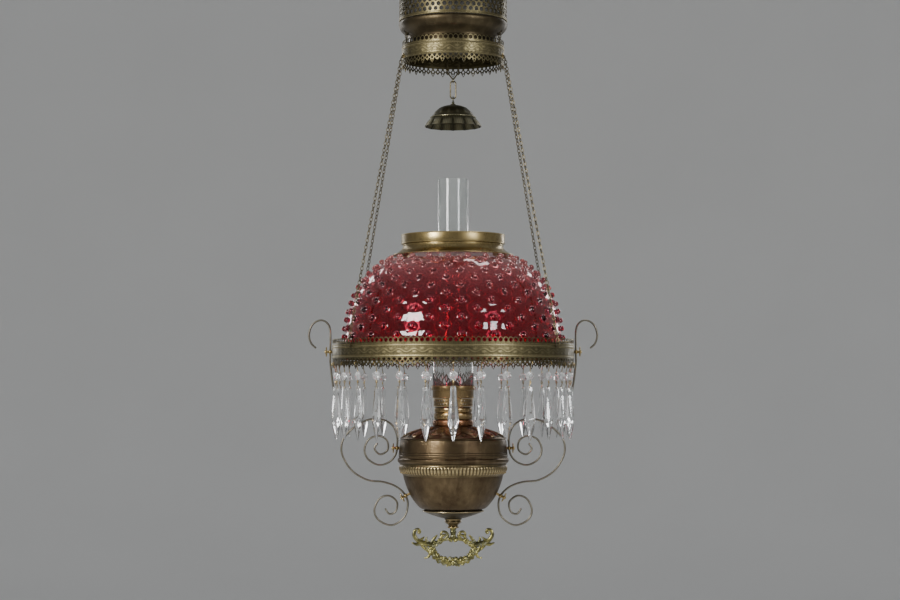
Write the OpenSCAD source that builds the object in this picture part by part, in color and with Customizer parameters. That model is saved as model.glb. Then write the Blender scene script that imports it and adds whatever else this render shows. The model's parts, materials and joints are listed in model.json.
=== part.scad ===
// Hanging oil lamp with a spring-motor canopy, a hobnail dome shade, a prism ring,
// a drop-in font with a round-wick burner, wire scroll arms and a cast pull.
// Heights are given above the datum plane, which lies 19 mm above the holder's rim.
// The finished part's origin is the centre of the hanging eye's bore, +Z up.

/* [Hanging eye] */
// Height of the eye's bore above the datum plane
eye_h = 740; // [738:1:744]
// Radius of the eye's bore
eye_bore_r = 7; // [6:0.5:8]
// Thickness of the eye's plate
eye_t = 5; // [4:0.5:6]

/* [Canopy] */
// Outer radius of the pierced crown band
crown_r = 87; // [86.5:0.1:88]
// Height of the crown band's lower edge
crown_h = 653; // [652:0.5:654]
// Outer radius of the waist under the crown
waist_r = 72; // [71:0.5:72]
// Outer radius of the lower band
lower_band_r = 82; // [82:0.1:83]
// Height of the lower band's lace tips
lower_band_h = 576; // [574:0.5:580]

/* [Motor and chains] */
// Radius at which the chain lies on the winding drum
drum_r = 25; // [24:0.25:25]
// Height of the winding drum's axle
drum_h = 655; // [655:0.5:656]
// Radius at which the chain lies on a side pulley
pulley_r = 12; // [11:0.25:12]
// Distance of the side pulleys' axles from the middle
pulley_x = 63; // [62:0.5:63]
// Height of the side pulleys' axles
pulley_h = 662; // [660:0.5:663]
// Distance of each chain from the middle plane
chain_y = 20; // [19.5:0.5:20.5]
// Radius of the plain rod that stands for a chain
chain_rod_r = 1.5; // [1.2:0.1:1.6]

/* [Smoke bell] */
// Height of the bell's rim
bell_rim_h = 483; // [470:1:483]
// Radius of the bell's rim
bell_rim_r = 46; // [44:0.5:48]
// Radius of the bail, link and loop wire
bell_wire_r = 1.1; // [1:0.05:1.15]

/* [Shade and ring] */
// Outer diameter of the shade's base
shade_d = 356; // [354:0.5:358]
// Thickness of the shade's glass
shade_wall = 4; // [3:0.5:4.5]
// Outer radius of the shade ring's band
ring_r = 193.5; // [193:0.1:194]
// Height of the ring's gallery edge
ring_top_h = 140; // [138:0.5:141]
// Height of the ring's lace tips
ring_low_h = 94; // [93:0.5:96]
// Outer radius of the collar in the shade's top
collar_r = 83; // [82.5:0.1:83.5]

/* [Prisms] */
// Number of prisms round the ring
prism_count = 28; // [24:1:28]
// Radius of the circle that the prisms hang on
prism_circle_r = 188.5; // [188:0.1:189]
// Width of a drop across its widest facet
drop_w = 18; // [16:0.5:18]
// Thickness of a drop
drop_t = 12; // [10:0.5:12.5]

/* [Font, burner and chimney] */
// Outer radius of the drop-in tank
tank_r = 82.3; // [81.5:0.1:82.3]
// Outer radius of the burner's chimney seat
seat_r = 35.2; // [35.2:0.1:36]
// Outer radius of the chimney's foot
chimney_foot_r = 33; // [32:0.1:33]
// Outer radius of the chimney's straight tube
chimney_tube_r = 25; // [23:0.5:26]
// Height of the chimney's top
chimney_top_h = 398; // [380:1:398]

/* [Arms and pull] */
// Radius of the arms' wire
arm_wire_r = 1.6; // [1.5:0.05:1.7]
// Diameter of a thumb screw's disc
screw_disc_d = 15; // [13:0.5:16]
// Width across the cast pull's horns
pull_w = 134; // [130:1:136]

/* [Hidden] */
$fn = 96;
sheet = 0.9;            // sheet-metal thickness
run_gap = 0.05;         // radial clearance of a running fit
wire_sides = 8;
chain_az_low = 35.3;    // where the chains meet the ring, from the side axis
chain_x = pulley_x + pulley_r;
guide_h = 595;
guide_r = lower_band_r - sheet / 2;
guide_az = asin(chain_y / guide_r);
hook_h = 126.4;
hook_ring_r = 3.6;
hook_at_r = ring_r + 5.2;
motor_y = 30;           // inside half-width of the motor frame
axle_r = 4;
pin_r = 3;
rod_r = 3.2;            // through rod of the pull
prism_pin_r = 0.6;
ring_screw_h = 120.2;
bail_eye_h = 558.05;
link_top_h = 557.4;
link_low_h = 529.1;
link_half_w = 4.4;
bell_eye_r = 4;
bell_eye_h = link_low_h - (bell_eye_r - 2 * bell_wire_r - 0.15);
wick_r = 12.3;
wick_tube_r = 12.6;
knob_h = 38.5;

// A scroll arm's line: [distance from the lamp's axis, height]
scroll_line = [
    [121, -26], [126, -35], [117, -44], [105, -37], [106, -22], [119, -14.5], [135, -20],
    [142, -36], [136, -52], [119, -61], [102, -56], [92, -44], [89.6, -30], [90, -14],
    [97, 2], [112, 11], [133, 12], [155, 2], [173, -15], [179, -31], [176, -49],
    [161, -71], [137, -85], [112, -88], [92, -95], [78, -107], [72.5, -123], [78, -144],
    [98, -157], [119, -149], [126, -133], [118, -115], [103, -110], [90, -120],
    [92, -135], [102, -139], [109, -130]
];
// A hanger's line: it hooks over outside the ring and passes behind the side prism
hanger_line = [
    [220, 0, 126], [228, 0, 134], [231.5, 0, 148], [226, 0, 164], [213, 0, 171],
    [202, 0, 166], [197.3, 0, 153], [197.3, 0, 121], [197.3, 1, 104], [196.5, 9, 92],
    [194, 15, 70], [188, 16, 40], [180, 12, 14], [175, 4, -6], [174.5, 0.5, -15]
];
// Right half of the pull's wreath, from the middle of its top to the middle of its foot
wreath_line = [
    [0, -174.5], [13, -175.5], [26, -178], [36.5, -185], [39.5, -195], [35, -206],
    [24, -213], [11, -216.5], [0, -217.5]
];
// Right horn of the pull, from the wreath outwards and up
horn_line = [
    [37, -188], [47, -186], [57, -181], [62.6, -173], [60.5, -165], [53, -163.4],
    [49.5, -168]
];

// ---- helpers ----

// Moves heights above the datum plane to heights above the hanging eye.
module from_datum() translate([0, 0, -eye_h]) children();

// The same shape on the right and on the left.
module both_sides() {
    children();
    mirror([1, 0, 0]) children();
}

// The same shape at the four chains' places, az degrees from the side axis.
module at_four(az) for (a = [az, 180 - az, 180 + az, -az]) rotate([0, 0, a]) children();

// Stands a shape that is turned about Z on the Y axis instead.
module along_y() rotate([-90, 0, 0]) children();

function reversed(list) = [for (i = [len(list) - 1:-1:0]) list[i]];

// Point at angle q[0] and radius q[1] + r.
function polar(q, r) = [(q[1] + r) * cos(q[0]), (q[1] + r) * sin(q[0])];

// Normal of the stretch from a to b, on the side of the lamp's inside.
function inward(a, b) = let (d = (b - a) / norm(b - a)) [d[1], -d[0]];

// A profile moved inwards by t, for a skin of even thickness.
function inset(p, t) = [
    for (i = [0:len(p) - 1])
        let (
            before = i > 0 ? inward(p[i - 1], p[i]) : inward(p[0], p[1]),
            after = i < len(p) - 1 ? inward(p[i], p[i + 1]) : before,
            middle = (before + after) / norm(before + after)
        )
        p[i] + middle * t / max(0.5, middle * before)
];

// A turned shell: profile [radius, height] from the top or middle outwards and down.
module skin(profile, wall = sheet) {
    rotate_extrude() polygon(concat(profile, reversed(inset(profile, wall))));
}

module turned(profile) rotate_extrude() polygon(profile);

// A tube standing on h0.
module tube(r, wall, h0, h1) {
    turned([[r - wall, h0], [r, h0], [r, h1], [r - wall, h1]]);
}

// A straight round rod from a to b.
module rod(a, b, r) {
    d = b - a;
    translate(a) rotate([0, acos(d[2] / norm(d)), atan2(d[1], d[0])]) cylinder(r = r, h = norm(d));
}

// A ring of wire whose axis is Z.
module wire_ring(ring_radius, wire_radius) {
    rotate_extrude() translate([ring_radius, 0]) circle(r = wire_radius, $fn = 32);
}

// Smooth curve through points: Catmull-Rom, with `steps` stretches between two points.
function curve_at(a, b, c, d, t) =
    0.5 * (2 * b + (c - a) * t + (2 * a - 5 * b + 4 * c - d) * t * t
        + (3 * b - a - 3 * c + d) * t * t * t);
function smooth(p, steps) = concat(
    [for (i = [0:len(p) - 2], s = [0:steps - 1])
        curve_at(p[max(i - 1, 0)], p[i], p[i + 1], p[min(i + 2, len(p) - 1)], s / steps)],
    [p[len(p) - 1]]
);
function in_space(p) = [for (q = p) [q[0], 0, q[1]]];

// One ring of points round p, across the direction t, with half-width w and half-depth v.
function ring_of(p, t, w, v, sides) =
    let (
        across = cross(t, [0, 1, 0]) / norm(cross(t, [0, 1, 0])),
        deep = cross(across, t)
    )
    [for (j = [0:sides - 1]) p + w * cos(360 * j / sides) * across
        + v * sin(360 * j / sides) * deep];

function unit(v) = v / norm(v);

// Direction of the line at point i, halfway between its two stretches.
function direction(p, i) = unit(
    (i > 0 ? unit(p[i] - p[i - 1]) : [0, 0, 0])
        + (i < len(p) - 1 ? unit(p[i + 1] - p[i]) : [0, 0, 0])
);

// A wire swept along points; its thickness runs from r0 to r1.
module swept(p, r0, r1, sides = wire_sides) {
    last = len(p) - 1;
    points = [for (i = [0:last])
        let (r = r0 + (r1 - r0) * i / last)
        each ring_of(p[i], direction(p, i), r, r, sides)];
    walls = [for (i = [0:last - 1], j = [0:sides - 1])
        let (a = i * sides + j, b = i * sides + (j + 1) % sides)
        [a, b, b + sides, a + sides]];
    polyhedron(points, concat(
        [[for (j = [sides - 1:-1:0]) j]],
        walls,
        [[for (j = [0:sides - 1]) last * sides + j]]
    ), convexity = 8);
}

// A wire swept round a closed line.
module swept_loop(p, r, sides = wire_sides) {
    n = len(p);
    points = [for (i = [0:n - 1])
        each ring_of(p[i], unit(p[(i + 1) % n] - p[(i + n - 1) % n]), r, r, sides)];
    polyhedron(points, [for (i = [0:n - 1], j = [0:sides - 1])
        let (next = (i + 1) % n * sides, k = (j + 1) % sides)
        [i * sides + j, i * sides + k, next + k, next + j]
    ], convexity = 8);
}

// ---- canopy ----

module hanging_eye() color("darkkhaki") difference() {
    union() {
        rotate([90, 0, 0]) cylinder(r = 14, h = eye_t, center = true);
        translate([-6, -eye_t / 2, -40]) cube([12, eye_t, 30]);
        translate([0, 0, -44]) cylinder(r = 11, h = 4);
        translate([0, 0, -57]) cylinder(r = 5, h = 14);
    }
    rotate([90, 0, 0]) cylinder(r = eye_bore_r, h = eye_t + 2, center = true);
}

module eye_nut() color("darkkhaki") translate([0, 0, -54.4]) difference() {
    cylinder(r = 9, h = 5.7, $fn = 6);
    translate([0, 0, -1]) cylinder(r = 5 + run_gap, h = 8);
}

module canopy_top_plate() color("olive") translate([0, 0, -46]) difference() {
    cylinder(r = crown_r - 1.2, h = 2);
    translate([0, 0, -1]) cylinder(r = 5.1, h = 4);
}

module crown_band() color("olive") from_datum() tube(crown_r, sheet, crown_h, 700);

module canopy_waist() color("peru") from_datum() difference() {
    skin([
        [crown_r - 1, crown_h - 0.4], [crown_r + 0.8, 650.5], [crown_r + 1, 647],
        [crown_r - 0.5, 642], [83, 637.5], [77, 632.5], [waist_r + 1, 627],
        [waist_r, 620], [waist_r, 607.4]
    ]);
    for (x = [-chain_x, chain_x], y = [-chain_y, chain_y]) {
        translate([x, y, 620]) cylinder(r = 4.2, h = 40);
    }
}

module canopy_floor() color("peru") from_datum() translate([0, 0, 606]) difference() {
    cylinder(r = waist_r, h = 1.2);
    for (x = [-9, 9]) translate([x, 0, -1]) cylinder(r = bell_wire_r + 0.1, h = 4);
}

module lower_band() color("olive") from_datum() difference() {
    tube(lower_band_r, sheet, lower_band_h, 621);
    at_four(guide_az) translate([lower_band_r - 4, 0, guide_h]) rotate([0, 90, 0]) {
        cylinder(r = 3.6, h = 8);
    }
}

module lower_band_ledge() color("olive") from_datum() translate([0, 0, 611]) difference() {
    cylinder(r = lower_band_r - sheet - 0.1, h = 1.2);
    translate([0, 0, -1]) cylinder(r = waist_r + 0.1, h = 4);
    for (x = [-chain_x, chain_x], y = [-chain_y, chain_y]) {
        translate([x, y, -1]) cylinder(r = 2.9, h = 4);
    }
}

module motor_frame() color("dimgray") from_datum() difference() {
    union() {
        translate([-74, -motor_y - 2, 691.6]) cube([148, 2 * motor_y + 4, 2.3]);
        for (y = [-motor_y - 2, motor_y]) translate([-74, y, 641]) cube([148, 2, 52]);
    }
    translate([0, 0, 685]) cylinder(r = 5.1, h = 12);
    translate([0, 0, drum_h]) along_y() cylinder(r = axle_r + run_gap, h = 80, center = true);
    for (x = [-pulley_x, pulley_x]) translate([x, 0, pulley_h]) along_y() {
        cylinder(r = pin_r + run_gap, h = 80, center = true);
    }
}

module drum_axle() color("silver") from_datum() translate([0, 0, drum_h]) along_y() {
    cylinder(r = axle_r, h = 2 * motor_y + 12, center = true);
    for (y = [-motor_y - 6, motor_y + 2.2]) translate([0, 0, y]) cylinder(r = 7, h = 3.8);
}

module pulley_pins() color("silver") from_datum() {
    for (x = [-pulley_x, pulley_x]) translate([x, 0, pulley_h]) along_y() {
        cylinder(r = pin_r, h = 2 * motor_y + 7, center = true);
        for (y = [-motor_y - 4.1, motor_y + 2.1]) translate([0, 0, y]) cylinder(r = 4.5, h = 2);
    }
}

// Eyelets that line the holes where the chains leave the lower band.
module chain_guides() color("goldenrod") from_datum() {
    at_four(guide_az) translate([guide_r - 1.6, 0, guide_h]) rotate([0, 90, 0]) turned([
        [2.5, 0], [3.5, 0], [3.5, 2.2], [4.6, 2.5], [4.3, 3.6], [2.5, 3.2]
    ]);
}

// The chain's line from the winding drum round the right pulley. It leaves the drum at the
// top, or at the bottom where it is crossed, so that one turn lets out both sides.
function over_pulley(crossed) =
    let (
        dz = pulley_h - drum_h,
        apart = norm([pulley_x, dz]),
        leave = atan2(dz, pulley_x) + (crossed
            ? -acos((drum_r + pulley_r) / apart) : acos((drum_r - pulley_r) / apart)),
        start = crossed ? leave + 180 : leave
    )
    concat(
        [[drum_r * cos(leave), chain_y, drum_h + drum_r * sin(leave)]],
        [for (i = [0:8]) let (a = start * (1 - i / 8))
            [pulley_x + pulley_r * cos(a), chain_y, pulley_h + pulley_r * sin(a)]]
    );

function at_radius(r, az, h) = [r * cos(az), r * sin(az), h];

// One chain on the right back: drum, pulley, down past the waist, eyelet, ring.
module one_chain(crossed) swept(concat(over_pulley(crossed), [
    [chain_x, chain_y, guide_h + 7],
    at_radius(guide_r - 3.2, guide_az, guide_h + 2.6),
    at_radius(guide_r - 1.2, guide_az, guide_h + 0.4),
    at_radius(guide_r + 1.6, guide_az, guide_h - 0.4),
    at_radius(guide_r + 3.6, guide_az, guide_h - 2.6),
    at_radius(guide_r + 5, guide_az, guide_h - 7),
    at_radius(hook_at_r + 0.8, chain_az_low, hook_h + 8.6)
]), chain_rod_r, chain_rod_r);

module left_chains() color("darkkhaki") from_datum() mirror([1, 0, 0]) {
    one_chain(false);
    mirror([0, 1, 0]) one_chain(false);
}

module right_chains() color("darkkhaki") from_datum() {
    one_chain(true);
    mirror([0, 1, 0]) one_chain(true);
}

// Wire bail under the canopy that carries the smoke bell's link.
module bell_bail() color("goldenrod") from_datum() {
    both_sides() {
        rod([9, 0, 574], [9, 0, 610], bell_wire_r);
        rod([9.3, 0, 574.4], [0, 0, bail_eye_h + 2.4], bell_wire_r);
    }
    translate([0, 0, bail_eye_h]) rotate([0, 90, 0]) wire_ring(3, bell_wire_r);
}

// ---- spring motor ----

module spring_barrel() color("goldenrod") from_datum() translate([0, 0, drum_h]) along_y() {
    turned([
        [axle_r + run_gap, -26], [8, -26], [8, -24], [drum_r + 3, -24], [drum_r + 3, -22.4],
        [drum_r - 1.8, -21], [drum_r - 1.8, -19], [drum_r + 3, -17.6], [drum_r + 3, -16],
        [drum_r - 1, -15.6], [drum_r - 1, 15.6], [drum_r + 3, 16], [drum_r + 3, 17.6],
        [drum_r - 1.8, 19], [drum_r - 1.8, 21], [drum_r + 3, 22.4], [drum_r + 3, 24],
        [22, 24], [22, -12], [7, -12], [7, 11], [axle_r + run_gap, 11]
    ]);
}

module barrel_cover() color("goldenrod") from_datum() translate([0, 0, drum_h]) along_y() {
    turned([
        [axle_r + run_gap, 11.2], [21.9, 11.2], [21.9, 13], [8, 13], [8, 26], [axle_r + run_gap, 26]
    ]);
}

// Spiral strip that winds up as the lamp is raised.
module mainspring() color("slategray") from_datum() translate([0, 0, drum_h]) along_y() {
    turns = 4.5;
    grow = 2.6;
    steps = 26;
    line = [for (i = [0:turns * steps]) let (a = 360 * i / steps) [a, 8.2 + grow * i / steps]];
    translate([0, 0, -10]) linear_extrude(height = 20) polygon(concat(
        [for (q = line) polar(q, 0)], reversed([for (q = line) polar(q, 0.8)])
    ));
}

module pulley_pair() along_y() turned([
    [pin_r + run_gap, -26], [6, -26], [6, -24], [15, -24], [15, -22.6],
    [pulley_r - 1.8, -21], [pulley_r - 1.8, -19], [15, -17.4], [15, -16], [6, -16],
    [6, 16], [15, 16], [15, 17.4], [pulley_r - 1.8, 19], [pulley_r - 1.8, 21],
    [15, 22.6], [15, 24], [6, 24], [6, 26], [pin_r + run_gap, 26]
]);

module left_pulleys() color("goldenrod") from_datum() {
    translate([-pulley_x, 0, pulley_h]) pulley_pair();
}

module right_pulleys() color("goldenrod") from_datum() {
    translate([pulley_x, 0, pulley_h]) pulley_pair();
}

// ---- smoke bell ----

module bell_link() color("goldenrod") from_datum() {
    ends = [[link_top_h - link_half_w, 0], [link_low_h + link_half_w, 180]];
    swept_loop([for (end = ends, a = [0:22.5:180])
        [link_half_w * cos(a + end[1]), 0, end[0] + link_half_w * sin(a + end[1])]
    ], bell_wire_r, 10);
}

module smoke_bell() color("peru") from_datum() {
    skin([
        [0, bell_rim_h + 36], [18, bell_rim_h + 36], [24, bell_rim_h + 34.6],
        [28, bell_rim_h + 31],
        [31, bell_rim_h + 26], [36, bell_rim_h + 17], [41, bell_rim_h + 8.5],
        [bell_rim_r, bell_rim_h]
    ]);
    translate([0, 0, bell_rim_h + 35.6]) cylinder(r = 1.9, h = bell_eye_h - bell_rim_h - 39);
    translate([0, 0, bell_eye_h]) rotate([0, 90, 0]) wire_ring(bell_eye_r, bell_wire_r);
}

// ---- shade ring, shade and collar ----

module ring_band() color("olive") from_datum() difference() {
    tube(ring_r, sheet, ring_low_h, ring_top_h);
    at_four(chain_az_low) translate([ring_r - 4, 0, hook_h]) rotate([0, 90, 0]) {
        cylinder(r = 1.3, h = 8);
    }
    both_sides() translate([ring_r - 4, 0, ring_screw_h]) rotate([0, 90, 0]) cylinder(r = 2.1, h = 8);
}

// Inner angle ring that the shade stands on.
module ring_ledge() color("olive") from_datum() turned([
    [170, 122.6], [ring_r - sheet - 0.1, 122.6], [ring_r - sheet - 0.1, 123.8],
    [171.2, 123.8], [171.2, 128.5], [170, 128.5]
]);

// Headed pins through the band, each with a ring that a chain's last link hooks into.
module chain_hooks() color("darkkhaki") from_datum() at_four(chain_az_low) {
    translate([ring_r - 3.5, 0, hook_h]) rotate([0, 90, 0]) cylinder(r = 1.2, h = 6.6);
    translate([ring_r - 3.5, 0, hook_h]) sphere(r = 2.2);
    translate([hook_at_r, 0, hook_h + 3]) rotate([90, 0, 0]) wire_ring(hook_ring_r, bell_wire_r);
}

module shade() color("crimson", 0.6) from_datum() {
    r = shade_d / 2;
    skin([
        [74, 282], [80, 278.5], [100, 272.5], [115, 266], [127, 256.8], [138, 246],
        [148, 234], [157, 220], [164.5, 204], [r - 8, 187], [r - 4, 170],
        [r - 1, 152], [r, 138], [r, 124.2]
    ], shade_wall);
}

module shade_collar() color("goldenrod") from_datum() skin([
    [collar_r - 2.5, 308.4], [collar_r, 307.6], [collar_r, 293.5], [collar_r - 3, 292],
    [collar_r - 2.4, 288], [collar_r + 1, 283], [90, 278.8], [97, 275.6]
], 1);

// ---- arms ----

module scroll() swept(in_space(smooth(scroll_line, 2)), arm_wire_r, arm_wire_r);

module left_scroll() color("dimgray") from_datum() mirror([1, 0, 0]) scroll();

module right_scroll() color("dimgray") from_datum() scroll();

module hanger() swept(smooth(hanger_line, 3), arm_wire_r, arm_wire_r);

module left_hanger() color("dimgray") from_datum() mirror([1, 0, 0]) hanger();

module right_hanger() color("dimgray") from_datum() hanger();

// A thumb screw along Z: shank from -reach, ball spacer and knurled disc.
module thumb_screw(reach) {
    translate([0, 0, -reach]) cylinder(r = 2, h = reach + 6);
    sphere(r = 3.4);
    translate([0, 0, 5]) cylinder(d = screw_disc_d, h = 2);
    translate([0, 0, 7]) cylinder(r = 2.6, h = 2);
}

module ring_thumb_screws() color("gold") from_datum() both_sides() {
    translate([197.5, 0, ring_screw_h]) rotate([0, 90, 0]) thumb_screw(7);
}

module font_thumb_screws() color("gold") from_datum() both_sides() {
    translate([89.8, 0, -34]) rotate([0, 90, 0]) thumb_screw(5.5);
}

module bowl_thumb_screws() color("gold") from_datum() both_sides() {
    translate([76, 0, -110]) rotate([0, 118, 0]) thumb_screw(9);
}

// ---- prisms ----

module round_the_ring() {
    for (i = [0:prism_count - 1]) rotate([0, 0, 360 * i / prism_count]) {
        translate([0, -prism_circle_r, 0]) children();
    }
}

// Wire pins: one hooks a button into the lace, one joins the button and its drop.
module prism_pins() color("gold") from_datum() round_the_ring() {
    rod([0, -3.3, 98], [0, 0, 87.2], prism_pin_r);
    rod([0, 0, 87.7], [0, 0, 84.6], prism_pin_r);
    rod([0, 0, 76.4], [0, 0, 61], prism_pin_r);
}

// Hole for a pin, from the height h upwards or, with a length below 0, downwards.
module pin_hole(h, length) translate([0, 0, min(h, h + length)]) {
    cylinder(r = prism_pin_r + 0.15, h = abs(length));
}

module prism_buttons() color("aliceblue") from_datum() round_the_ring() difference() {
    translate([0, 0, 80.7]) rotate([90, 22.5, 0]) cylinder(r = 7.6, h = 5.4, center = true, $fn = 8);
    pin_hole(84.4, 5);
    pin_hole(76.6, -5);
}

// Faceted spear: rings of eight points at each height, with half-width and half-depth.
module drop() {
    w = drop_w / 2;
    t = drop_t / 2;
    rings = [[65, 3.6, 2.6], [63, 4.7, 3.6], [50, 5, 4.2], [13, w, t], [6, w * 0.9, t * 0.92], [-19, 0.8, 0.8]];
    points = [for (q = rings) each ring_of([0, 0, q[0]], [0, 0, -1], q[1], q[2], 8)];
    last = len(rings) - 1;
    polyhedron(points, concat(
        [[for (j = [7:-1:0]) j]],
        [for (i = [0:last - 1], j = [0:7])
            let (a = i * 8 + j, b = i * 8 + (j + 1) % 8) [a, b, b + 8, a + 8]],
        [[for (j = [0:7]) last * 8 + j]]
    ));
}

module prism_drops() color("aliceblue") from_datum() round_the_ring() difference() {
    drop();
    pin_hole(60.8, 6);
}

// ---- font holder and pull ----

module holder_band() color("sienna") from_datum() difference() {
    skin([
        [83.2, -19.4], [84.2, -20.2], [85.4, -27], [87, -40], [87.5, -47], [86.6, -49],
        [89, -51], [89, -55.4], [86.6, -57.6]
    ]);
    both_sides() translate([80, 0, -34]) rotate([0, 90, 0]) cylinder(r = 2.05, h = 12);
}

module gadroon_band() color("goldenrod") from_datum() skin([
    [85.6, -58.2], [85.2, -60.6], [86.6, -63], [86.2, -68], [83.6, -73], [80.6, -76.4],
    [80, -78]
]);

module holder_bowl() color("sienna") from_datum() difference() {
    skin([
        [79.8, -78.3], [79.4, -82], [73, -101], [65, -116], [54, -129], [48, -131.6],
        [30, -132.6], [rod_r + 0.1, -132.6]
    ]);
    both_sides() translate([76, 0, -110]) rotate([0, 118, 0]) {
        cylinder(r = 2.1, h = 24, center = true);
    }
}

module foot_dish() color("sienna") from_datum() skin([
    [47.6, -132.9], [49, -134.2], [40, -138.6], [28, -142.6], [17, -146],
    [rod_r + 0.1, -146.4]
]);

module pull_stem() color("goldenrod") from_datum() turned([
    [rod_r + 0.1, -146.6], [14, -146.6], [12.6, -149], [14, -151.4], [11.6, -154],
    [8.6, -156], [7, -159], [rod_r + 0.1, -159]
]);

module pull_washer() color("gold") from_datum() tube(9, 9 - rod_r - 0.1, -161.2, -159.2);

module pull_rod() color("silver") from_datum() translate([0, 0, -168]) {
    cylinder(r = rod_r, h = 44);
}

module pull_nut() color("silver") from_datum() translate([0, 0, -131.4]) difference() {
    cylinder(r = 6.6, h = 5, $fn = 6);
    translate([0, 0, -1]) cylinder(r = rod_r + run_gap, h = 8);
}

module pull_handle() color("khaki") from_datum() difference() {
    union() {
        translate([0, 0, -179]) cylinder(r = 5.4, h = 17.6);
        both_sides() {
            swept(in_space(smooth(wreath_line, 3)), 5.6, 6.6, 10);
            swept(in_space(smooth([for (q = horn_line) [q[0] * pull_w / 134, q[1]]], 3)), 5.6, 3.6);
        }
    }
    translate([0, 0, -169]) cylinder(r = rod_r + run_gap, h = 12);
}

// ---- font, burner and chimney ----

module font_tank() color("goldenrod") from_datum() skin([
    [tank_r - 3, -16.2], [tank_r, -19], [tank_r, -60], [77.4, -77], [70, -98], [60, -112],
    [48, -119], [10.05, -120.4]
]);

module font_shoulder() color("peru") from_datum() skin([
    [31, 1.4], [34, 1.2], [46, -2], [58, -5.4], [70, -9.4], [78, -12.6], [84.4, -17.4],
    [85, -19]
], 0.8);

module font_collar() color("chocolate") from_datum() turned([
    [14.2, 1.8], [32.4, 1.8], [33, 3.4], [33, 9.6], [32, 11.2], [27, 11.2], [27, 4], [14.2, 4]
]);

module burner_base() color("darkgoldenrod") from_datum() skin([
    [28, 32], [30, 30.6], [30.6, 27.2], [30, 24], [28.6, 22.4], [31, 21.4], [31, 14],
    [30, 11.5]
]);

module burner_neck() color("darkgoldenrod") from_datum() difference() {
    skin([[30.4, 45.2], [31.4, 44.4], [31.4, 33.4], [30.2, 32.3]]);
    translate([0, 20, knob_h]) along_y() cylinder(r = 1.6, h = 20);
}

// Seat that the chimney stands in, with its shelf.
module chimney_gallery() color("darkgoldenrod") from_datum() turned([
    [26, 58.2], [32.1, 58.2], [32.1, 46.4], [30.6, 45.5], [33, 45.5], [33, 58.4],
    [seat_r, 59], [seat_r, 66], [seat_r - 0.8, 66], [seat_r - 0.8, 59.4], [26, 59.4]
]);

module draft_tube() color("goldenrod") from_datum() tube(10, 1, -121.4, 56);

module wick_tube() color("goldenrod") from_datum() difference() {
    tube(wick_tube_r + 1, 1, 2, 60);
    translate([0, 8, knob_h]) cube([5, 16, 9], center = true);
}

// Perforated thimble that spreads the flame over the draft tube.
module flame_spreader() color("darkkhaki") from_datum() {
    turned([
        [0, 76.5], [6.5, 75.4], [9.6, 71.8], [9.8, 68], [8.6, 66], [8.6, 57], [0, 57]
    ]);
}

module wick() color("ivory") from_datum() tube(wick_r, 2, -100, 62);

module wick_knob() color("goldenrod") from_datum() translate([0, 0, knob_h]) along_y() {
    translate([0, 0, 14]) cylinder(r = 1.5, h = 31);
    translate([0, 0, 14]) cylinder(r = 2.4, h = 3);
    translate([0, 0, 40]) cylinder(r = 9, h = 4);
    translate([0, 0, 44]) cylinder(r = 4, h = 2);
}

module chimney() color("white", 0.3) from_datum() skin([
    [chimney_tube_r, chimney_top_h], [chimney_tube_r, 196], [26.5, 176], [29.6, 158],
    [32, 142], [chimney_foot_r, 126], [chimney_foot_r, 59.6]
], 2);

hanging_eye();
eye_nut();
canopy_top_plate();
crown_band();
canopy_waist();
canopy_floor();
lower_band();
lower_band_ledge();
motor_frame();
drum_axle();
pulley_pins();
chain_guides();
left_chains();
right_chains();
bell_bail();
spring_barrel();
barrel_cover();
mainspring();
left_pulleys();
right_pulleys();
bell_link();
smoke_bell();
ring_band();
ring_ledge();
chain_hooks();
shade();
shade_collar();
left_scroll();
right_scroll();
left_hanger();
right_hanger();
ring_thumb_screws();
font_thumb_screws();
bowl_thumb_screws();
prism_pins();
prism_buttons();
prism_drops();
holder_band();
gadroon_band();
holder_bowl();
foot_dish();
pull_stem();
pull_washer();
pull_rod();
pull_nut();
pull_handle();
font_tank();
font_shoulder();
font_collar();
burner_base();
burner_neck();
chimney_gallery();
draft_tube();
wick_tube();
flame_spreader();
wick();
wick_knob();
chimney();
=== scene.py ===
import bisect
import functools
import json
import math
import random

import bmesh
import bpy
from mathutils import Matrix, Vector, noise
from mathutils.geometry import tessellate_polygon


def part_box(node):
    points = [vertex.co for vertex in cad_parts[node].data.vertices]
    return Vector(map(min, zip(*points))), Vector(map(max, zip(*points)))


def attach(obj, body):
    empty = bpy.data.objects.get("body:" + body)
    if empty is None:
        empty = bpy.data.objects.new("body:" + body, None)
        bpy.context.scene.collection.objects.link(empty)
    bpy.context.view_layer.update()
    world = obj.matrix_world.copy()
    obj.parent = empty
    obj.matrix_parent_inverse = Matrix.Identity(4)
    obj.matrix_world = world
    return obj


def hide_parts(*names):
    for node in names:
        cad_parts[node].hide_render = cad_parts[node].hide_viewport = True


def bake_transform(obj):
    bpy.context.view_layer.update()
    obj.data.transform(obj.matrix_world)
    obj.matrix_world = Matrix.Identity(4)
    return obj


# A hanging oil lamp. Shapes are made in millimetres, with heights above the datum plane
# that lies RING_TOP under the shade ring's top edge; make() puts them into metres.

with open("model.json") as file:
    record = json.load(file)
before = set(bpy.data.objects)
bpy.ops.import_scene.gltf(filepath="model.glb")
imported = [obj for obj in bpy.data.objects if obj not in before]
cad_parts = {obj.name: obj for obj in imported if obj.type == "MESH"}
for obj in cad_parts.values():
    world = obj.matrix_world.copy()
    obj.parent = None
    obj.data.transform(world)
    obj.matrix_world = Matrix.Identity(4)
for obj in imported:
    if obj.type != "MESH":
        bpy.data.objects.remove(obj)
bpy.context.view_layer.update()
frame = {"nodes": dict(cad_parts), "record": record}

MM = 0.001
RING_TOP = 140.0                     # the ring's top edge above the datum plane
SHEET = 0.9                          # thickness of the brass sheet
WELD = 0.002 * MM
TURN = 2 * math.pi


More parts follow.
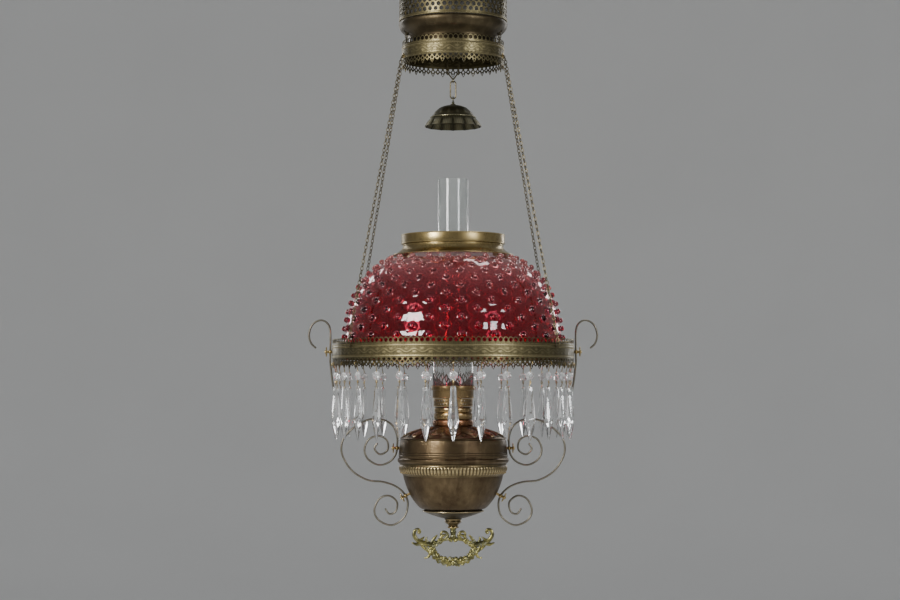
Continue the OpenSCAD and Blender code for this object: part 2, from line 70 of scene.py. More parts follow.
@functools.cache
def box(node):
    """Corners of a CAD node's box, in millimetres."""
    low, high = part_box(node)
    return Vector(low) / MM, Vector(high) / MM


DATUM = box("ring_band")[1].z - RING_TOP


def reach(node):
    """Outer radius of a round CAD node."""
    return box(node)[1].y


def top_of(node):
    return box(node)[1].z - DATUM


def foot_of(node):
    return box(node)[0].z - DATUM


def size_of(node):
    """Outer radius, foot and top of a round CAD node."""
    return reach(node), foot_of(node), top_of(node)


# ---- shapes ----


class Shape:
    """Points in millimetres, faces, and how far each point is raised (1) or sunk (-1)."""

    def __init__(self):
        self.points = []
        self.faces = []
        self.relief = []

    def add(self, points, faces, relief=None):
        first = len(self.points)
        self.points.extend(Vector(p) for p in points)
        self.faces.extend([first + i for i in face] for face in faces)
        self.relief.extend(relief if relief else [0.0] * (len(self.points) - first))
        return self

    def join(self, other, place=None):
        points = [place @ p for p in other.points] if place else other.points
        return self.add(points, other.faces, list(other.relief))


def moved(shape, place):
    """A copy of the shape, put in place."""
    return Shape().join(shape, place)


def turned_about(angle):
    return Matrix.Rotation(angle, 4, "Z")


def around(shape, count, start=0.0):
    """The shape repeated round the lamp's axis."""
    made = Shape()
    for i in range(count):
        made.join(shape, turned_about(start + TURN * i / count))
    return made


def mirrored(shape):
    """The shape with its mirror image on the other side."""
    made = Shape().join(shape)
    return made.join(shape, Matrix.Diagonal((-1, 1, 1, 1)))


def new_object(name, data):
    made = bpy.data.objects.new(name, data)
    bpy.context.scene.collection.objects.link(made)
    return made


def make(name, shape, body, slot, nodes=(), sharp=35, look=None):
    """Turns a shape into a piece of the lamp that rides on a body."""
    mesh = bpy.data.meshes.new(name)
    place = [(p.x * MM, p.y * MM, (p.z + DATUM) * MM) for p in shape.points]
    mesh.from_pydata(place, [], shape.faces)
    relief = mesh.attributes.new("relief", "FLOAT", "POINT")
    relief.data.foreach_set("value", shape.relief)
    work = bmesh.new()
    work.from_mesh(mesh)
    bmesh.ops.remove_doubles(work, verts=work.verts, dist=WELD)
    bmesh.ops.recalc_face_normals(work, faces=work.faces)
    work.to_mesh(mesh)
    work.free()
    for face in mesh.polygons:
        face.use_smooth = sharp > 0
    if sharp > 0:
        mesh.set_sharp_from_angle(angle=math.radians(sharp))
    piece = new_object(name, mesh)
    mesh.materials.append(looks[look or slot])
    if nodes:
        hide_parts(*nodes)
    if body:
        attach(piece, body)
    return piece


# ---- outlines ----


def turned(name, node, body, slot, edge, segments, **extra):
    """A piece with its CAD node's own outline, eased by edge and turned about the axis."""
    make(name, revolve(rounded(section(node), edge), segments), body, slot, [node], **extra)


def skin(node, wall, step):
    """The outside of a sheet node from top to bottom, in even steps."""
    return evenly(rounded(outside(section(node), wall), closed=False), step)


def section(node):
    """The outline of a turned CAD node, as (radius, height), on the side that faces -Y."""
    cut = bmesh.new()
    cut.from_mesh(frame["nodes"][node].data)
    bmesh.ops.remove_doubles(cut, verts=cut.verts, dist=1e-6)
    everything = cut.verts[:] + cut.edges[:] + cut.faces[:]
    bmesh.ops.bisect_plane(
        cut, geom=everything, dist=1e-6, plane_co=(0, 0, 0), plane_no=(1, 0, 0),
        clear_inner=True, clear_outer=True,
    )
    bmesh.ops.remove_doubles(cut, verts=cut.verts, dist=2e-5)
    behind = [v for v in cut.verts if v.co.y > 1e-5]
    bmesh.ops.delete(cut, geom=behind, context="VERTS")
    loose = [v for v in cut.verts if len(v.link_edges) == 1]
    at = loose[0] if loose else max(cut.verts, key=lambda v: v.co.z)
    line, seen = [], set()
    while at is not None:
        seen.add(at.index)
        line.append((-at.co.y / MM, at.co.z / MM - DATUM))
        ways = [e.other_vert(at) for e in at.link_edges]
        at = next((v for v in ways if v.index not in seen), None)
    cut.free()
    return straightened(line, closed=not loose)


def turn_at(before, here, after):
    """Angle in radians by which a line turns at a point."""
    a = math.atan2(here[1] - before[1], here[0] - before[0])
    b = math.atan2(after[1] - here[1], after[0] - here[0])
    return abs((b - a + math.pi) % TURN - math.pi)


def straightened(line, closed):
    """The line without the points that lie on a straight stretch."""
    n = len(line)
    return [
        line[i] for i in range(n)
        if (not closed and i in (0, n - 1))
        or turn_at(line[i - 1], line[i], line[(i + 1) % n]) > math.radians(1.2)
    ]


def toward(a, b, far):
    """The point at distance far from a on the way to b."""
    share = far / max(math.dist(a, b), 1e-9)
    return tuple(p + (q - p) * share for p, q in zip(a, b))


def rounded(line, edge=0.3, closed=True):
    """The line with its gentle bends drawn as curves and its sharp corners eased by edge."""
    made, n = [], len(line)
    for i, here in enumerate(line):
        before, after = line[i - 1], line[(i + 1) % n]
        if not closed and i in (0, n - 1):
            made.append(here)
            continue
        room = [math.dist(here, before) / 2, math.dist(here, after) / 2]
        bend = turn_at(before, here, after)
        if bend > math.radians(50):
            room = [min(r * 0.8, edge) for r in room]
        start, end = toward(here, before, room[0]), toward(here, after, room[1])
        steps = 2 if max(room) < 1 else max(3, round(math.degrees(bend) / 5))
        for k in range(steps + 1):
            t = k / steps
            made.append(tuple(
                (1 - t) ** 2 * a + 2 * t * (1 - t) * b + t * t * c
                for a, b, c in zip(start, here, end)
            ))
    return without_repeats(made, closed)


def without_repeats(line, closed):
    kept = [line[0]]
    for p in line[1:]:
        if math.dist(p, kept[-1]) > 0.01:
            kept.append(p)
    if closed and math.dist(kept[0], kept[-1]) < 0.01:
        kept.pop()
    return kept


def outside(loop, wall):
    """The outer side of a skin's section, from top to bottom."""
    n = len(loop)
    ends = [
        i for i in range(n)
        if abs(math.dist(loop[i], loop[(i + 1) % n]) - wall) < 0.3 * wall
        and turn_at(loop[i - 1], loop[i], loop[(i + 1) % n]) > 1
    ]
    a, b = ends[0], ends[-1]
    sides = [loop[a + 1:b + 1], loop[b + 1:] + loop[:a + 1]]
    side = max(sides, key=lambda s: sum(p[0] for p in s) / len(s))
    return side if side[0][1] > side[-1][1] else side[::-1]


def lengths(line):
    """How far along the line each of its points lies."""
    far = [0.0]
    for a, b in zip(line, line[1:]):
        far.append(far[-1] + math.dist(a, b))
    return far


def evenly(line, step):
    """The line's points, spaced evenly at about step."""
    far = lengths(line)
    count = max(1, round(far[-1] / step))
    return [point_at(line, far, far[-1] * i / count) for i in range(count + 1)]


def point_at(line, far, s):
    i = min(max(bisect.bisect_right(far, s) - 1, 0), len(line) - 2)
    share = (s - far[i]) / (far[i + 1] - far[i])
    return tuple(p + (q - p) * share for p, q in zip(line[i], line[i + 1]))


def normals(line):
    """Unit normals of a line that runs down the outside of a skin."""
    made = []
    for i in range(len(line)):
        a, b = line[max(i - 1, 0)], line[min(i + 1, len(line) - 1)]
        d = math.dist(a, b)
        made.append(((a[1] - b[1]) / d, (b[0] - a[0]) / d))
    return made


def catmull(points, steps, closed=False):
    """A smooth curve through points."""
    n = len(points)
    made = []
    for i in range(n if closed else n - 1):
        a, b, c, d = (
            Vector(points[(i + k) % n] if closed else points[min(max(i + k, 0), n - 1)])
            for k in (-1, 0, 1, 2)
        )
        for s in range(steps):
            t = s / steps
            made.append(0.5 * (
                2 * b + (c - a) * t + (2 * a - 5 * b + 4 * c - d) * t * t
                + (3 * b - a - 3 * c + d) * t ** 3
            ))
    return made if closed else made + [Vector(points[-1])]


# ---- solids ----


def grid(rows, columns, wrap_rows=False, wrap_columns=True):
    """Four-cornered faces between rows of points that are numbered row after row."""
    return [
        [i * columns + j, i * columns + (j + 1) % columns,
         (i + 1) % rows * columns + (j + 1) % columns, (i + 1) % rows * columns + j]
        for i in range(rows if wrap_rows else rows - 1)
        for j in range(columns if wrap_columns else columns - 1)
    ]


def revolve(loop, segments=144, closed=True, relief=None, gain=1.0):
    """A turned solid. relief(angle, radius, height) is how far its skin is pushed out."""
    points, levels = [], []
    for k in range(segments):
        a = TURN * k / segments
        for r, h in loop:
            push = relief(a, r, h) if relief else 0.0
            levels.append(max(-1.0, min(1.0, push * gain)))
            points.append(((r + push) * math.cos(a), (r + push) * math.sin(a), h))
    return Shape().add(points, grid(segments, len(loop), True, closed), levels)


def pressed(line, wall, columns, relief=None, gain=1.0, hole=None, soot=0.0):
    """A pressed sheet, turned about the axis. line is its outside, from top to bottom;
    relief(angle, radius, height) is how far the sheet is pushed out, hole(angle, radius,
    height) says where it is cut away, and soot is how dirty it is inside."""
    rows = len(line)
    out = normals(line)
    points, levels = [], []
    for k in range(columns):
        a = TURN * k / columns
        for (r, h), (u, v) in zip(line, out):
            push = relief(a, r, h) if relief else 0.0
            level = max(-1.0, min(1.0, push * gain))
            for depth in (push, push * 0.9 - wall):
                x = r + u * depth
                points.append((x * math.cos(a), x * math.sin(a), h + v * depth))
            levels += [level, level - soot]
    def at(k, i, inner):
        return ((k % columns) * rows + i) * 2 + inner
    def open_at(k, i):
        if not 0 <= i < rows - 1:
            return True
        if hole is None:
            return False
        r, h = ((p + q) / 2 for p, q in zip(line[i], line[i + 1]))
        return hole(TURN * (k + 0.5) / columns, r, h)
    faces = []
    gone = [[open_at(k, i) for i in range(-1, rows)] for k in range(columns)]
    for k in range(columns):
        for i in range(rows):
            here = gone[k][i + 1]
            if not here:
                for inner in (0, 1):
                    faces.append([at(k, i, inner), at(k, i + 1, inner),
                                  at(k + 1, i + 1, inner), at(k + 1, i, inner)])
            if here != gone[k][i]:
                faces.append([at(k, i, 0), at(k + 1, i, 0), at(k + 1, i, 1), at(k, i, 1)])
            if i < rows - 1 and here != gone[(k + 1) % columns][i + 1]:
                faces.append([at(k + 1, i, 0), at(k + 1, i + 1, 0),
                              at(k + 1, i + 1, 1), at(k + 1, i, 1)])
    return Shape().add(points, faces, levels)


def wire(path, radius, sides=12, closed=False, flat=1.0):
    """A round wire along a path. radius is a number, or a function of the share of the
    way; flat is how thin it is across the plane that it starts in."""
    path = [Vector(p) for p in path]
    n = len(path)
    thick = radius if callable(radius) else (lambda share: radius)
    def ahead(i):
        a = path[(i - 1) % n] if closed or i > 0 else path[0]
        b = path[(i + 1) % n] if closed or i < n - 1 else path[-1]
        return (b - a).normalized()
    across = ahead(0).orthogonal().normalized()
    if abs(ahead(0).y) < 0.9:
        across = ahead(0).cross(Vector((0, 1, 0))).normalized()
    points = []
    for i in range(n):
        way = ahead(i)
        across = (across - way * across.dot(way)).normalized()
        deep = way.cross(across)
        r = thick(i / (n if closed else n - 1))
        for j in range(sides):
            b = TURN * j / sides
            points.append(path[i] + across * (r * math.cos(b)) + deep * (r * flat * math.sin(b)))
    faces = grid(n, sides, closed)
    if not closed:
        faces.append(list(range(sides)))
        faces.append([(n - 1) * sides + j for j in range(sides)])
    return Shape().add(points, faces)


def blunt(r, length, tip=0.35):
    """Thickness of a wire whose ends are rounded off over their last stretch."""
    def thick(share):
        near = min(share, 1 - share) * length / r
        return r * (tip + (1 - tip) * math.sqrt(min(1.0, near)))
    return thick


def loop_of(half_w, half_h, n=24):
    """Points of an oval in the XZ plane."""
    return [
        Vector((half_w * math.cos(TURN * i / n), 0, half_h * math.sin(TURN * i / n)))
        for i in range(n)
    ]


def ball(centre, r, segments=10, rows=6, squash=1.0):
    """A small round bead, flattened along its own X by squash."""
    points = []
    for i in range(1, rows):
        b = math.pi * i / rows
        for j in range(segments):
            a = TURN * j / segments
            points.append((r * squash * math.cos(b), r * math.sin(b) * math.cos(a),
                           r * math.sin(b) * math.sin(a)))
    faces = grid(rows - 1, segments)
    faces.append(list(range(segments)))
    faces.append([(rows - 2) * segments + j for j in range(segments)])
    made = Shape().add(points, faces, [1.0] * len(points))
    return moved(made, Matrix.Translation(Vector(centre)))


def bead_row(count, radius, height, r, start=0.0):
    """A row of small beads round the lamp."""
    return around(ball((radius, 0, height), r, 6, 4), count, start)


def pierced(radius, wall, count, side, top, bottom, holes):
    """A pierced band, made of equal cells round the axis. side is a cell's left border
    from bottom to top, top and bottom are its edges between the borders, and all are
    (distance along the band, height)."""
    pitch = TURN * radius / count
    border = [(x + pitch, h) for x, h in reversed(side)]
    loops = [side + top + border + bottom] + holes
    flat = [p for loop in loops for p in loop]
    triangles = tessellate_polygon([[Vector((x, h, 0)) for x, h in loop] for loop in loops])
    n = len(flat)
    made = Shape()
    walls, first = [], 0
    for loop in loops:
        for i in range(len(loop)):
            walls.append((first + i, first + (i + 1) % len(loop)))
        first += len(loop)
    up, turned = len(side) - 1, len(side) + len(top)
    welded = set(range(up)) | set(range(turned, turned + up))
    walls = [w for w in walls if w[0] not in welded]
    faces = [list(t) for t in triangles] + [[i + n for i in t[::-1]] for t in triangles]
    faces += [[a, b, b + n, a + n] for a, b in walls]
    for k in range(count):
        points = []
        for r in (radius, radius - wall):
            for x, h in flat:
                a = (x + k * pitch) / radius
                points.append((r * math.cos(a), r * math.sin(a), h))
        made.add(points, faces)
    return made


def hole(x, h, rx, rh=None, n=16, turn=0.0):
    """A round or oval hole in a pierced band's cell."""
    rh = rh or rx
    return [(x + rx * math.cos(TURN * i / n + turn), h + rh * math.sin(TURN * i / n + turn))
            for i in range(n)]


def petal(x, h, w, low, high):
    """A pointed oval hole with its point down."""
    return [(x, h - low), (x + w * 0.7, h - low * 0.35), (x + w, h + high * 0.2),
            (x + w * 0.6, h + high * 0.85), (x, h + high), (x - w * 0.6, h + high * 0.85),
            (x - w, h + high * 0.2), (x - w * 0.7, h - low * 0.35)]


# ---- materials ----

RGBA_SOCKETS = (0, 6, 7)             # a Mix node's factor and colours
RGBA_RESULT = 2


class Nodes:
    """A short way to write a material's node tree."""

    def __init__(self, name):
        self.material = bpy.data.materials.new(name)
        self.material.use_nodes = True
        self.tree = self.material.node_tree
        self.shader = self.tree.nodes["Principled BSDF"]
        self.place = self.add("TexCoord").outputs["Object"]

    def add(self, kind, inputs=(), **settings):
        made = self.tree.nodes.new("ShaderNode" + kind)
        for key, value in settings.items():
            setattr(made, key, value)
        for key, value in dict(inputs).items():
            self.put(made.inputs[key], value)
        return made

    def put(self, socket, value):
        if isinstance(value, bpy.types.NodeSocket):
            self.tree.links.new(value, socket)
        elif isinstance(value, tuple) and len(value) == 3 and socket.type == "RGBA":
            socket.default_value = (*value, 1)
        else:
            socket.default_value = value

    def noise(self, scale, detail=4.0, rough=0.55, stretch=None):
        place = self.place
        if stretch:
            place = self.add("Mapping", {"Vector": place, "Scale": stretch}).outputs[0]
        return self.add("TexNoise", {
            "Vector": place, "Scale": scale, "Detail": detail, "Roughness": rough,
        }).outputs["Fac"]

    def spread(self, value, low, high, to_low=0.0, to_high=1.0):
        """Maps the values from low to high onto a new range, and clamps them."""
        return self.add("MapRange", {
            "Value": value, "From Min": low, "From Max": high,
            "To Min": to_low, "To Max": to_high,
        }).outputs[0]

    def mix(self, share, a, b):
        made = self.add("Mix", data_type="RGBA")
        for socket, value in zip(RGBA_SOCKETS, (share, a, b)):
            self.put(made.inputs[socket], value)
        return made.outputs[RGBA_RESULT]

    def sum(self, a, b, operation="ADD"):
        return self.add("Math", {0: a, 1: b}, operation=operation).outputs[0]

    def times(self, a, b):
        return self.sum(a, b, "MULTIPLY")

    def height(self):
        return self.add("SeparateXYZ", {"Vector": self.place}).outputs["Z"]

    def relief(self):
        return self.add("Attribute", attribute_name="relief").outputs["Fac"]

    def set(self, **values):
        for key, value in values.items():
            self.put(self.shader.inputs[key.replace("_", " ")], value)

    def bump(self, height, distance, strength=1.0, below=None):
        inputs = {"Height": height, "Distance": distance * MM, "Strength": strength}
        if below:
            inputs["Normal"] = below
        return self.add("Bump", inputs).outputs[0]


def metal(name, body, dark, worn, rough=0.34, patina=0.5, blotch=26.0, grit=0.05):
    """Old metal: a body colour that clouds over into a dark patina, fine specks, bright
    wear on what is raised and dirt in what is sunk."""
    n = Nodes(name)
    clouds = n.spread(n.noise(blotch, 5.0, 0.62), 0.38, 0.66)
    specks = n.spread(n.noise(620.0, 3.0, 0.7), 0.56, 0.74)
    streaks = n.noise(90.0, 3.0, 0.6, (1.0, 1.0, 0.25))
    colour = n.mix(n.times(clouds, patina), body, dark)
    colour = n.mix(n.times(n.spread(streaks, 0.5, 0.75), 0.14), colour, worn)
    colour = n.mix(n.times(specks, 0.4), colour, dark)
    # raised mostly gives real wear; on the foot dish's rim it is partly a painted highlight
    raised = n.spread(n.relief(), 0.1, 1.0, 0.0, 0.75)
    # on the canopy waist, sunk carries painted shade behind the lower band's gallery rather than dirt
    sunk = n.spread(n.relief(), -0.05, -0.8, 0.0, 0.85)
    colour = n.mix(raised, colour, worn)
    colour = n.mix(sunk, colour, tuple(c * 0.45 for c in dark))
    dull = n.sum(n.spread(clouds, 0.0, 1.0, rough - 0.06, rough + 0.14),
                 n.times(specks, 0.16))
    dull = n.sum(dull, n.times(raised, -0.1))
    grain = n.bump(n.noise(1500.0, 2.0, 0.6), grit, 0.5)
    grain = n.bump(n.noise(160.0, 4.0, 0.5), grit * 4, 0.35, grain)
    n.set(Base_Color=colour, Roughness=dull, Metallic=1.0, Normal=grain)
    return n.material


def gilt(name):
    """Old gilding with pale verdigris in its hollows."""
    n = Nodes(name)
    clouds = n.noise(70.0, 5.0, 0.65)
    colour = n.mix(n.spread(clouds, 0.4, 0.62), (0.30, 0.27, 0.10), (0.10, 0.097, 0.044))
    pale = n.spread(n.noise(190.0, 4.0, 0.7), 0.5, 0.66)
    sunk = n.spread(n.relief(), 0.15, -0.7)
    crust = n.sum(n.times(pale, 0.55), n.times(sunk, 0.6))
    crust = n.spread(crust, 0.25, 0.9)
    colour = n.mix(crust, colour, (0.33, 0.345, 0.28))
    bright = n.spread(n.relief(), 0.35, 1.0, 0.0, 0.7)
    colour = n.mix(bright, colour, (0.56, 0.51, 0.25))
    shine = n.spread(crust, 0.0, 1.0, 1.0, 0.35)
    dull = n.spread(crust, 0.0, 1.0, 0.3, 0.72)
    grain = n.bump(n.noise(900.0, 3.0, 0.7), 0.12, 0.6)
    grain = n.bump(n.noise(210.0, 3.0, 0.6), 0.4, 0.5, grain)
    n.set(Base_Color=colour, Roughness=dull, Metallic=shine, Normal=grain)
    return n.material


def cranberry(name):
    """Cranberry glass that pales and dusts over towards the shade's top."""
    n = Nodes(name)
    low, high = (foot_of("shade") + DATUM) * MM, (top_of("shade") + DATUM) * MM
    up = n.sum(n.height(), n.spread(n.noise(14.0, 3.0), 0.3, 0.7, -0.01, 0.01))
    ramp = n.add("ValToRGB", {"Fac": n.spread(up, low, high)})
    stops = [(0.0, (0.54, 0.014, 0.05)), (0.35, (0.50, 0.035, 0.075)),
             (0.7, (0.53, 0.11, 0.13)), (1.0, (0.62, 0.27, 0.25))]
    for i, (at, colour) in enumerate(stops):
        stop = ramp.color_ramp.elements[i] if i < 2 else ramp.color_ramp.elements.new(at)
        stop.position = at
        stop.color = (*colour, 1)
    dust = n.spread(n.noise(300.0, 4.0, 0.7), 0.5, 0.8, 0.0, 0.25)
    colour = n.mix(dust, ramp.outputs["Color"], (0.42, 0.22, 0.20))
    dull = n.spread(n.noise(45.0, 4.0, 0.6), 0.35, 0.7, 0.015, 0.07)
    ripple = n.bump(n.noise(30.0, 2.0, 0.4), 2.2, 0.45)
    film = n.spread(up, low + (high - low) * 0.6, high, 1.0, 0.8)
    n.set(Base_Color=colour, Roughness=dull, Normal=ripple, IOR=1.5,
          Transmission_Weight=film, Specular_IOR_Level=0.6)
    return n.material


def clear(name, tint, ior, wave, smear, haze=0.0):
    """Clear glass, a little wavy and smeared, and hazy where it is old."""
    n = Nodes(name)
    colour = n.mix(n.spread(n.noise(35.0, 4.0, 0.6), 0.4, 0.8), tint, tuple(c * 0.93 for c in tint))
    dull = n.spread(n.noise(60.0, 4.0, 0.65), 0.45, 0.75, 0.0, smear)
    ripple = n.bump(n.noise(22.0, 2.0, 0.4), wave, 0.3)
    n.set(Base_Color=colour, Roughness=dull, Normal=ripple, IOR=ior,
          Transmission_Weight=1.0 - haze)
    return n.material


def cotton(name):
    """Woven lamp wick, charred along its top edge."""
    n = Nodes(name)
    weave = n.add("TexWave", {"Vector": n.place, "Scale": 260.0, "Distortion": 1.5},
                  bands_direction="Z").outputs["Fac"]
    rib = n.add("TexWave", {"Vector": n.place, "Scale": 300.0, "Distortion": 2.0},
                bands_direction="X").outputs["Fac"]
    threads = n.times(weave, rib)
    colour = n.mix(threads, (0.62, 0.56, 0.44), (0.84, 0.80, 0.68))
    top = box("wick")[1].z * MM
    char = n.spread(n.sum(n.height(), n.spread(n.noise(120.0), 0.3, 0.7, -0.002, 0.002)),
                    top - 0.006, top - 0.001)
    colour = n.mix(char, colour, (0.03, 0.025, 0.02))
    n.set(Base_Color=colour, Roughness=n.spread(threads, 0.0, 1.0, 0.75, 0.95),
          Normal=n.bump(threads, 0.3, 0.8), Sheen_Weight=0.3)
    return n.material


# Body, dark and worn colour, roughness, patina, and some have a blotch scale and grit.
METALS = {
    "antique_brass": ((0.13, 0.11, 0.056), (0.036, 0.031, 0.018), (0.45, 0.38, 0.205), 0.4, 0.7),
    "bronzed_brass": ((0.085, 0.066, 0.037), (0.034, 0.026, 0.016),
                      (0.33, 0.27, 0.16), 0.4, 0.8, 18.0),
    "dusty_brass": ((0.125, 0.11, 0.065), (0.055, 0.05, 0.036),
                    (0.30, 0.26, 0.16), 0.6, 0.85, 20.0),
    "smoked_brass": ((0.125, 0.115, 0.068), (0.045, 0.043, 0.028),
                     (0.40, 0.37, 0.24), 0.4, 0.8, 24.0),
    "font_brass": ((0.135, 0.098, 0.054), (0.048, 0.031, 0.018),
                   (0.40, 0.31, 0.18), 0.39, 0.95, 15.0),
    "worn_brass": ((0.17, 0.13, 0.068), (0.05, 0.037, 0.021), (0.48, 0.385, 0.21), 0.34, 0.65),
    "satin_brass": ((0.34, 0.26, 0.115), (0.15, 0.108, 0.05),
                    (0.62, 0.50, 0.25), 0.27, 0.6, 12.0, 0.03),
    "burner_brass": ((0.30, 0.21, 0.10), (0.09, 0.058, 0.028),
                     (0.62, 0.47, 0.24), 0.27, 0.65, 30.0),
    "copper_brown": ((0.21, 0.10, 0.05), (0.06, 0.03, 0.017), (0.52, 0.30, 0.16), 0.30, 0.7, 34.0),
    "screw_brass": ((0.40, 0.30, 0.13), (0.15, 0.105, 0.045), (0.72, 0.58, 0.30), 0.27, 0.5, 90.0),
    "chain_brass": ((0.17, 0.142, 0.08), (0.04, 0.034, 0.02), (0.44, 0.37, 0.21), 0.34, 0.7, 55.0),
    "motor_brass": ((0.40, 0.31, 0.145), (0.16, 0.115, 0.058), (0.64, 0.51, 0.27), 0.30, 0.5, 40.0),
    "dark_wire": ((0.23, 0.21, 0.165), (0.07, 0.064, 0.05), (0.46, 0.43, 0.35), 0.38, 0.65, 45.0),
    "steel": ((0.38, 0.37, 0.355), (0.14, 0.13, 0.125), (0.58, 0.57, 0.55), 0.3, 0.5, 50.0),
}
looks = {name: metal(name, *numbers) for name, numbers in METALS.items()}
looks |= {
    "gilt_brass": gilt("gilt_brass"),
    "cranberry_glass": cranberry("cranberry_glass"),
    "clear_glass": clear("clear_glass", (0.95, 0.97, 0.96), 1.48, 0.5, 0.05, 0.03),
    "crystal": clear("crystal", (0.98, 0.99, 0.99), 1.7, 0.05, 0.02, 0.06),
    "scuffed_crystal": clear("scuffed_crystal", (0.98, 0.99, 0.99), 1.7, 0.05, 0.02, 0.2),
    "wick_cotton": cotton("wick_cotton"),
}


# ---- ornament ----


def bump_at(x, centre, width):
    """A soft ridge, 1 high, along a line."""
    return math.exp(-((x - centre) / width) ** 2)


def hoop(radius, height, r, segments=192, wear=0.6):
    """A rolled wire edge, rubbed bright by wear."""
    made = revolve([(radius + r * math.cos(TURN * i / 10), height + r * math.sin(TURN * i / 10))
                    for i in range(10)], segments)
    made.relief = [wear] * len(made.points)
    return made


def scallop(pitch, low, rise, steps=8):
    """The top edge of a cell, bulging over its hole."""
    return [(pitch * i / steps, low + rise * math.sin(math.pi * i / steps) ** 0.7)
            for i in range(1, steps)]


def gallery(radius, wall, count, low, top, hole_h, hole_r):
    """A strip with one round hole under each scallop."""
    pitch = TURN * radius / count
    rise = 0.42 * pitch
    dip = top - rise
    return pierced(radius, wall, count, [(0, low), (0, dip)], scallop(pitch, dip, rise), [],
                   [hole(pitch / 2, hole_h, hole_r)])


def lace(radius, wall, count, top, row_h, valley_h, small_h, tip_h):
    """Hanging lace: a row of pointed openings over big and small teeth with cut-outs."""
    p = TURN * radius / count
    side = [(0.25 * p, valley_h), (0, (valley_h + row_h) / 2 + 0.6), (0, top)]
    def tooth(x, half, tip):
        low = valley_h - tip
        return [(x + half * 0.72, valley_h - low * 0.22), (x + half * 0.6, valley_h - low * 0.5),
                (x + half * 0.22, valley_h - low * 0.78), (x, tip),
                (x - half * 0.22, valley_h - low * 0.78), (x - half * 0.6, valley_h - low * 0.5),
                (x - half * 0.72, valley_h - low * 0.22)]
    bottom = tooth(p, p * 0.24, small_h) + [(0.75 * p, valley_h)] + tooth(p / 2, p * 0.25, tip_h)
    fall = valley_h - tip_h
    openings = [petal(x * p, row_h, 0.18 * p, 3.4, 2.4) for x in (0.25, 0.75)]
    openings += [hole(p / 2, valley_h + 0.5, 0.115 * p, n=12), hole(p, valley_h + 0.9, 0.1 * p, n=12)]
    openings.append(hole(p / 2, valley_h - fall * 0.52, 0.07 * p, 0.1 * p, n=10))
    return pierced(radius, wall, count, side, [], bottom, openings)


def scrollwork(angle, height, count, low, high):
    """Faint running vine between two heights: from 0, the ground, to 1."""
    u = angle * count / TURN
    v = (height - low) / (high - low)
    if not 0 < v < 1:
        return 0.0
    stem = bump_at(v, 0.5 + 0.22 * math.sin(TURN * u), 0.07)
    made = stem * 0.7
    for x, y in ((0.25, 0.3), (0.75, 0.7)):
        du = ((u - x + 0.5) % 1 - 0.5) * 2.2
        dv = (v - y) * 1.6
        far = math.hypot(du, dv)
        leaf = max(0.0, 1 - (far / 0.42) ** 2) * (0.6 + 0.4 * math.cos(5 * math.atan2(dv, du)))
        made = max(made, leaf)
    return min(1.0, made)


def ornament_band(radius, wall, low, high, count, columns, step, eyelets=None):
    """The pressed strip between a band's gallery and its lace, with a rail along each
    edge and a vine between them."""
    def relief(a, r, h):
        rails = bump_at(h, high - 1.6, 0.75) + bump_at(h, low + 1.6, 0.75)
        return 0.55 * min(1.0, rails) + 0.4 * scrollwork(a, h, count, low + 4, high - 4)
    line = evenly([(radius, high), (radius, low)], step)
    return pressed(line, wall, columns, relief, 1.6, eyelets)


# ---- canopy ----


def make_eye():
    """Cast eye with a threaded shank that clamps the top plate."""
    high = top_of("hanging_eye")
    low = foot_of("hanging_eye")
    width = box("hanging_eye")[1].x
    half = 2.5
    centre = high - width
    ring = rounded([(7.0, -half), (width, -half), (width, half), (7.0, half)], 1.3)
    stand = Matrix.Translation((0, 0, centre)) @ Matrix.Rotation(math.pi / 2, 4, "X")
    eye = moved(revolve(ring, 72), stand)
    plate = top_of("canopy_top_plate")
    neck = [(0, centre - 12.4), (4.6, centre - 12.6), (5.2, centre - 17), (4.4, centre - 26),
            (6.2, plate + 7), (10.4, plate + 4.2), (11, plate + 3), (11, plate + 0.2),
            (5, plate + 0.2)]
    turns = round((plate - 2 - low) / 1.25)
    for i in range(turns):
        h = plate - 1.5 - 1.25 * i
        neck += [(5.0, h), (4.45, h - 0.62)]
    neck += [(3.6, low), (0, low)]
    eye.join(revolve(neck, 48, closed=False))
    make("hanging_eye_cast", eye, "canopy", "antique_brass", ["hanging_eye"])


def make_top_plate():
    """Spun plate with two raised steps."""
    r, low, high = size_of("canopy_top_plate")
    line = [(5.1, low), (5.1, high), (20, high), (23, high + 1.6), (52, high + 1.6),
            (56, high), (74, high), (77, high + 1), (82, high + 1), (r, high), (r, low)]
    make("canopy_spun_top", revolve(rounded(line, 0.4), 144), "canopy", "antique_brass",
         ["canopy_top_plate"], look="dusty_brass")


def make_crown():
    """Tall band of staggered round holes between two rolled edges."""
    r, low, high = size_of("crown_band")
    count, rows, gap = 58, 5, 7.3
    p = TURN * r / count
    first = low + 8.0
    side = [(0, low)] + [(p / 2 * (i % 2), first + gap * i) for i in range(rows)]
    dip = high - 2.2
    side.append((0, dip))
    holes = [hole(p / 2 + p / 2 * (i % 2), first + gap * i, 3.3) for i in range(rows)]
    band = pierced(r, SHEET, count, side, scallop(p, dip, 2.2), [], holes)
    band.join(hoop(r - 0.1, low + 0.9, 0.95))
    band.join(hoop(r, low + 3.4, 0.45))
    make("crown_pierced_band", band, "canopy", "antique_brass", ["crown_band"])


def near_side_slots(angle, radius, height):
    """The waist's slots, where the chains come down."""
    x, y = abs(radius * math.cos(angle)), abs(radius * math.sin(angle))
    return height > top_of("lower_band") - 1 and math.hypot(x - CHAIN_X, y - CHAIN_Y) < 3.8


def waist_painted_shade(angle, radius, height):
    """Hardly sunk, but painted dark below the lower band's gallery top: painted shade behind the
    gallery.
    """
    return -0.01 if height < top_of("lower_band") + 2 else 0.0


def make_waist():
    # the waist is painted dark behind the lower band's gallery, as painted shade
    shape = pressed(skin("canopy_waist", SHEET, 1.1), SHEET, 360, waist_painted_shade, 90,
                    near_side_slots)
    make("canopy_spun_waist", shape, "canopy", "bronzed_brass", ["canopy_waist"])


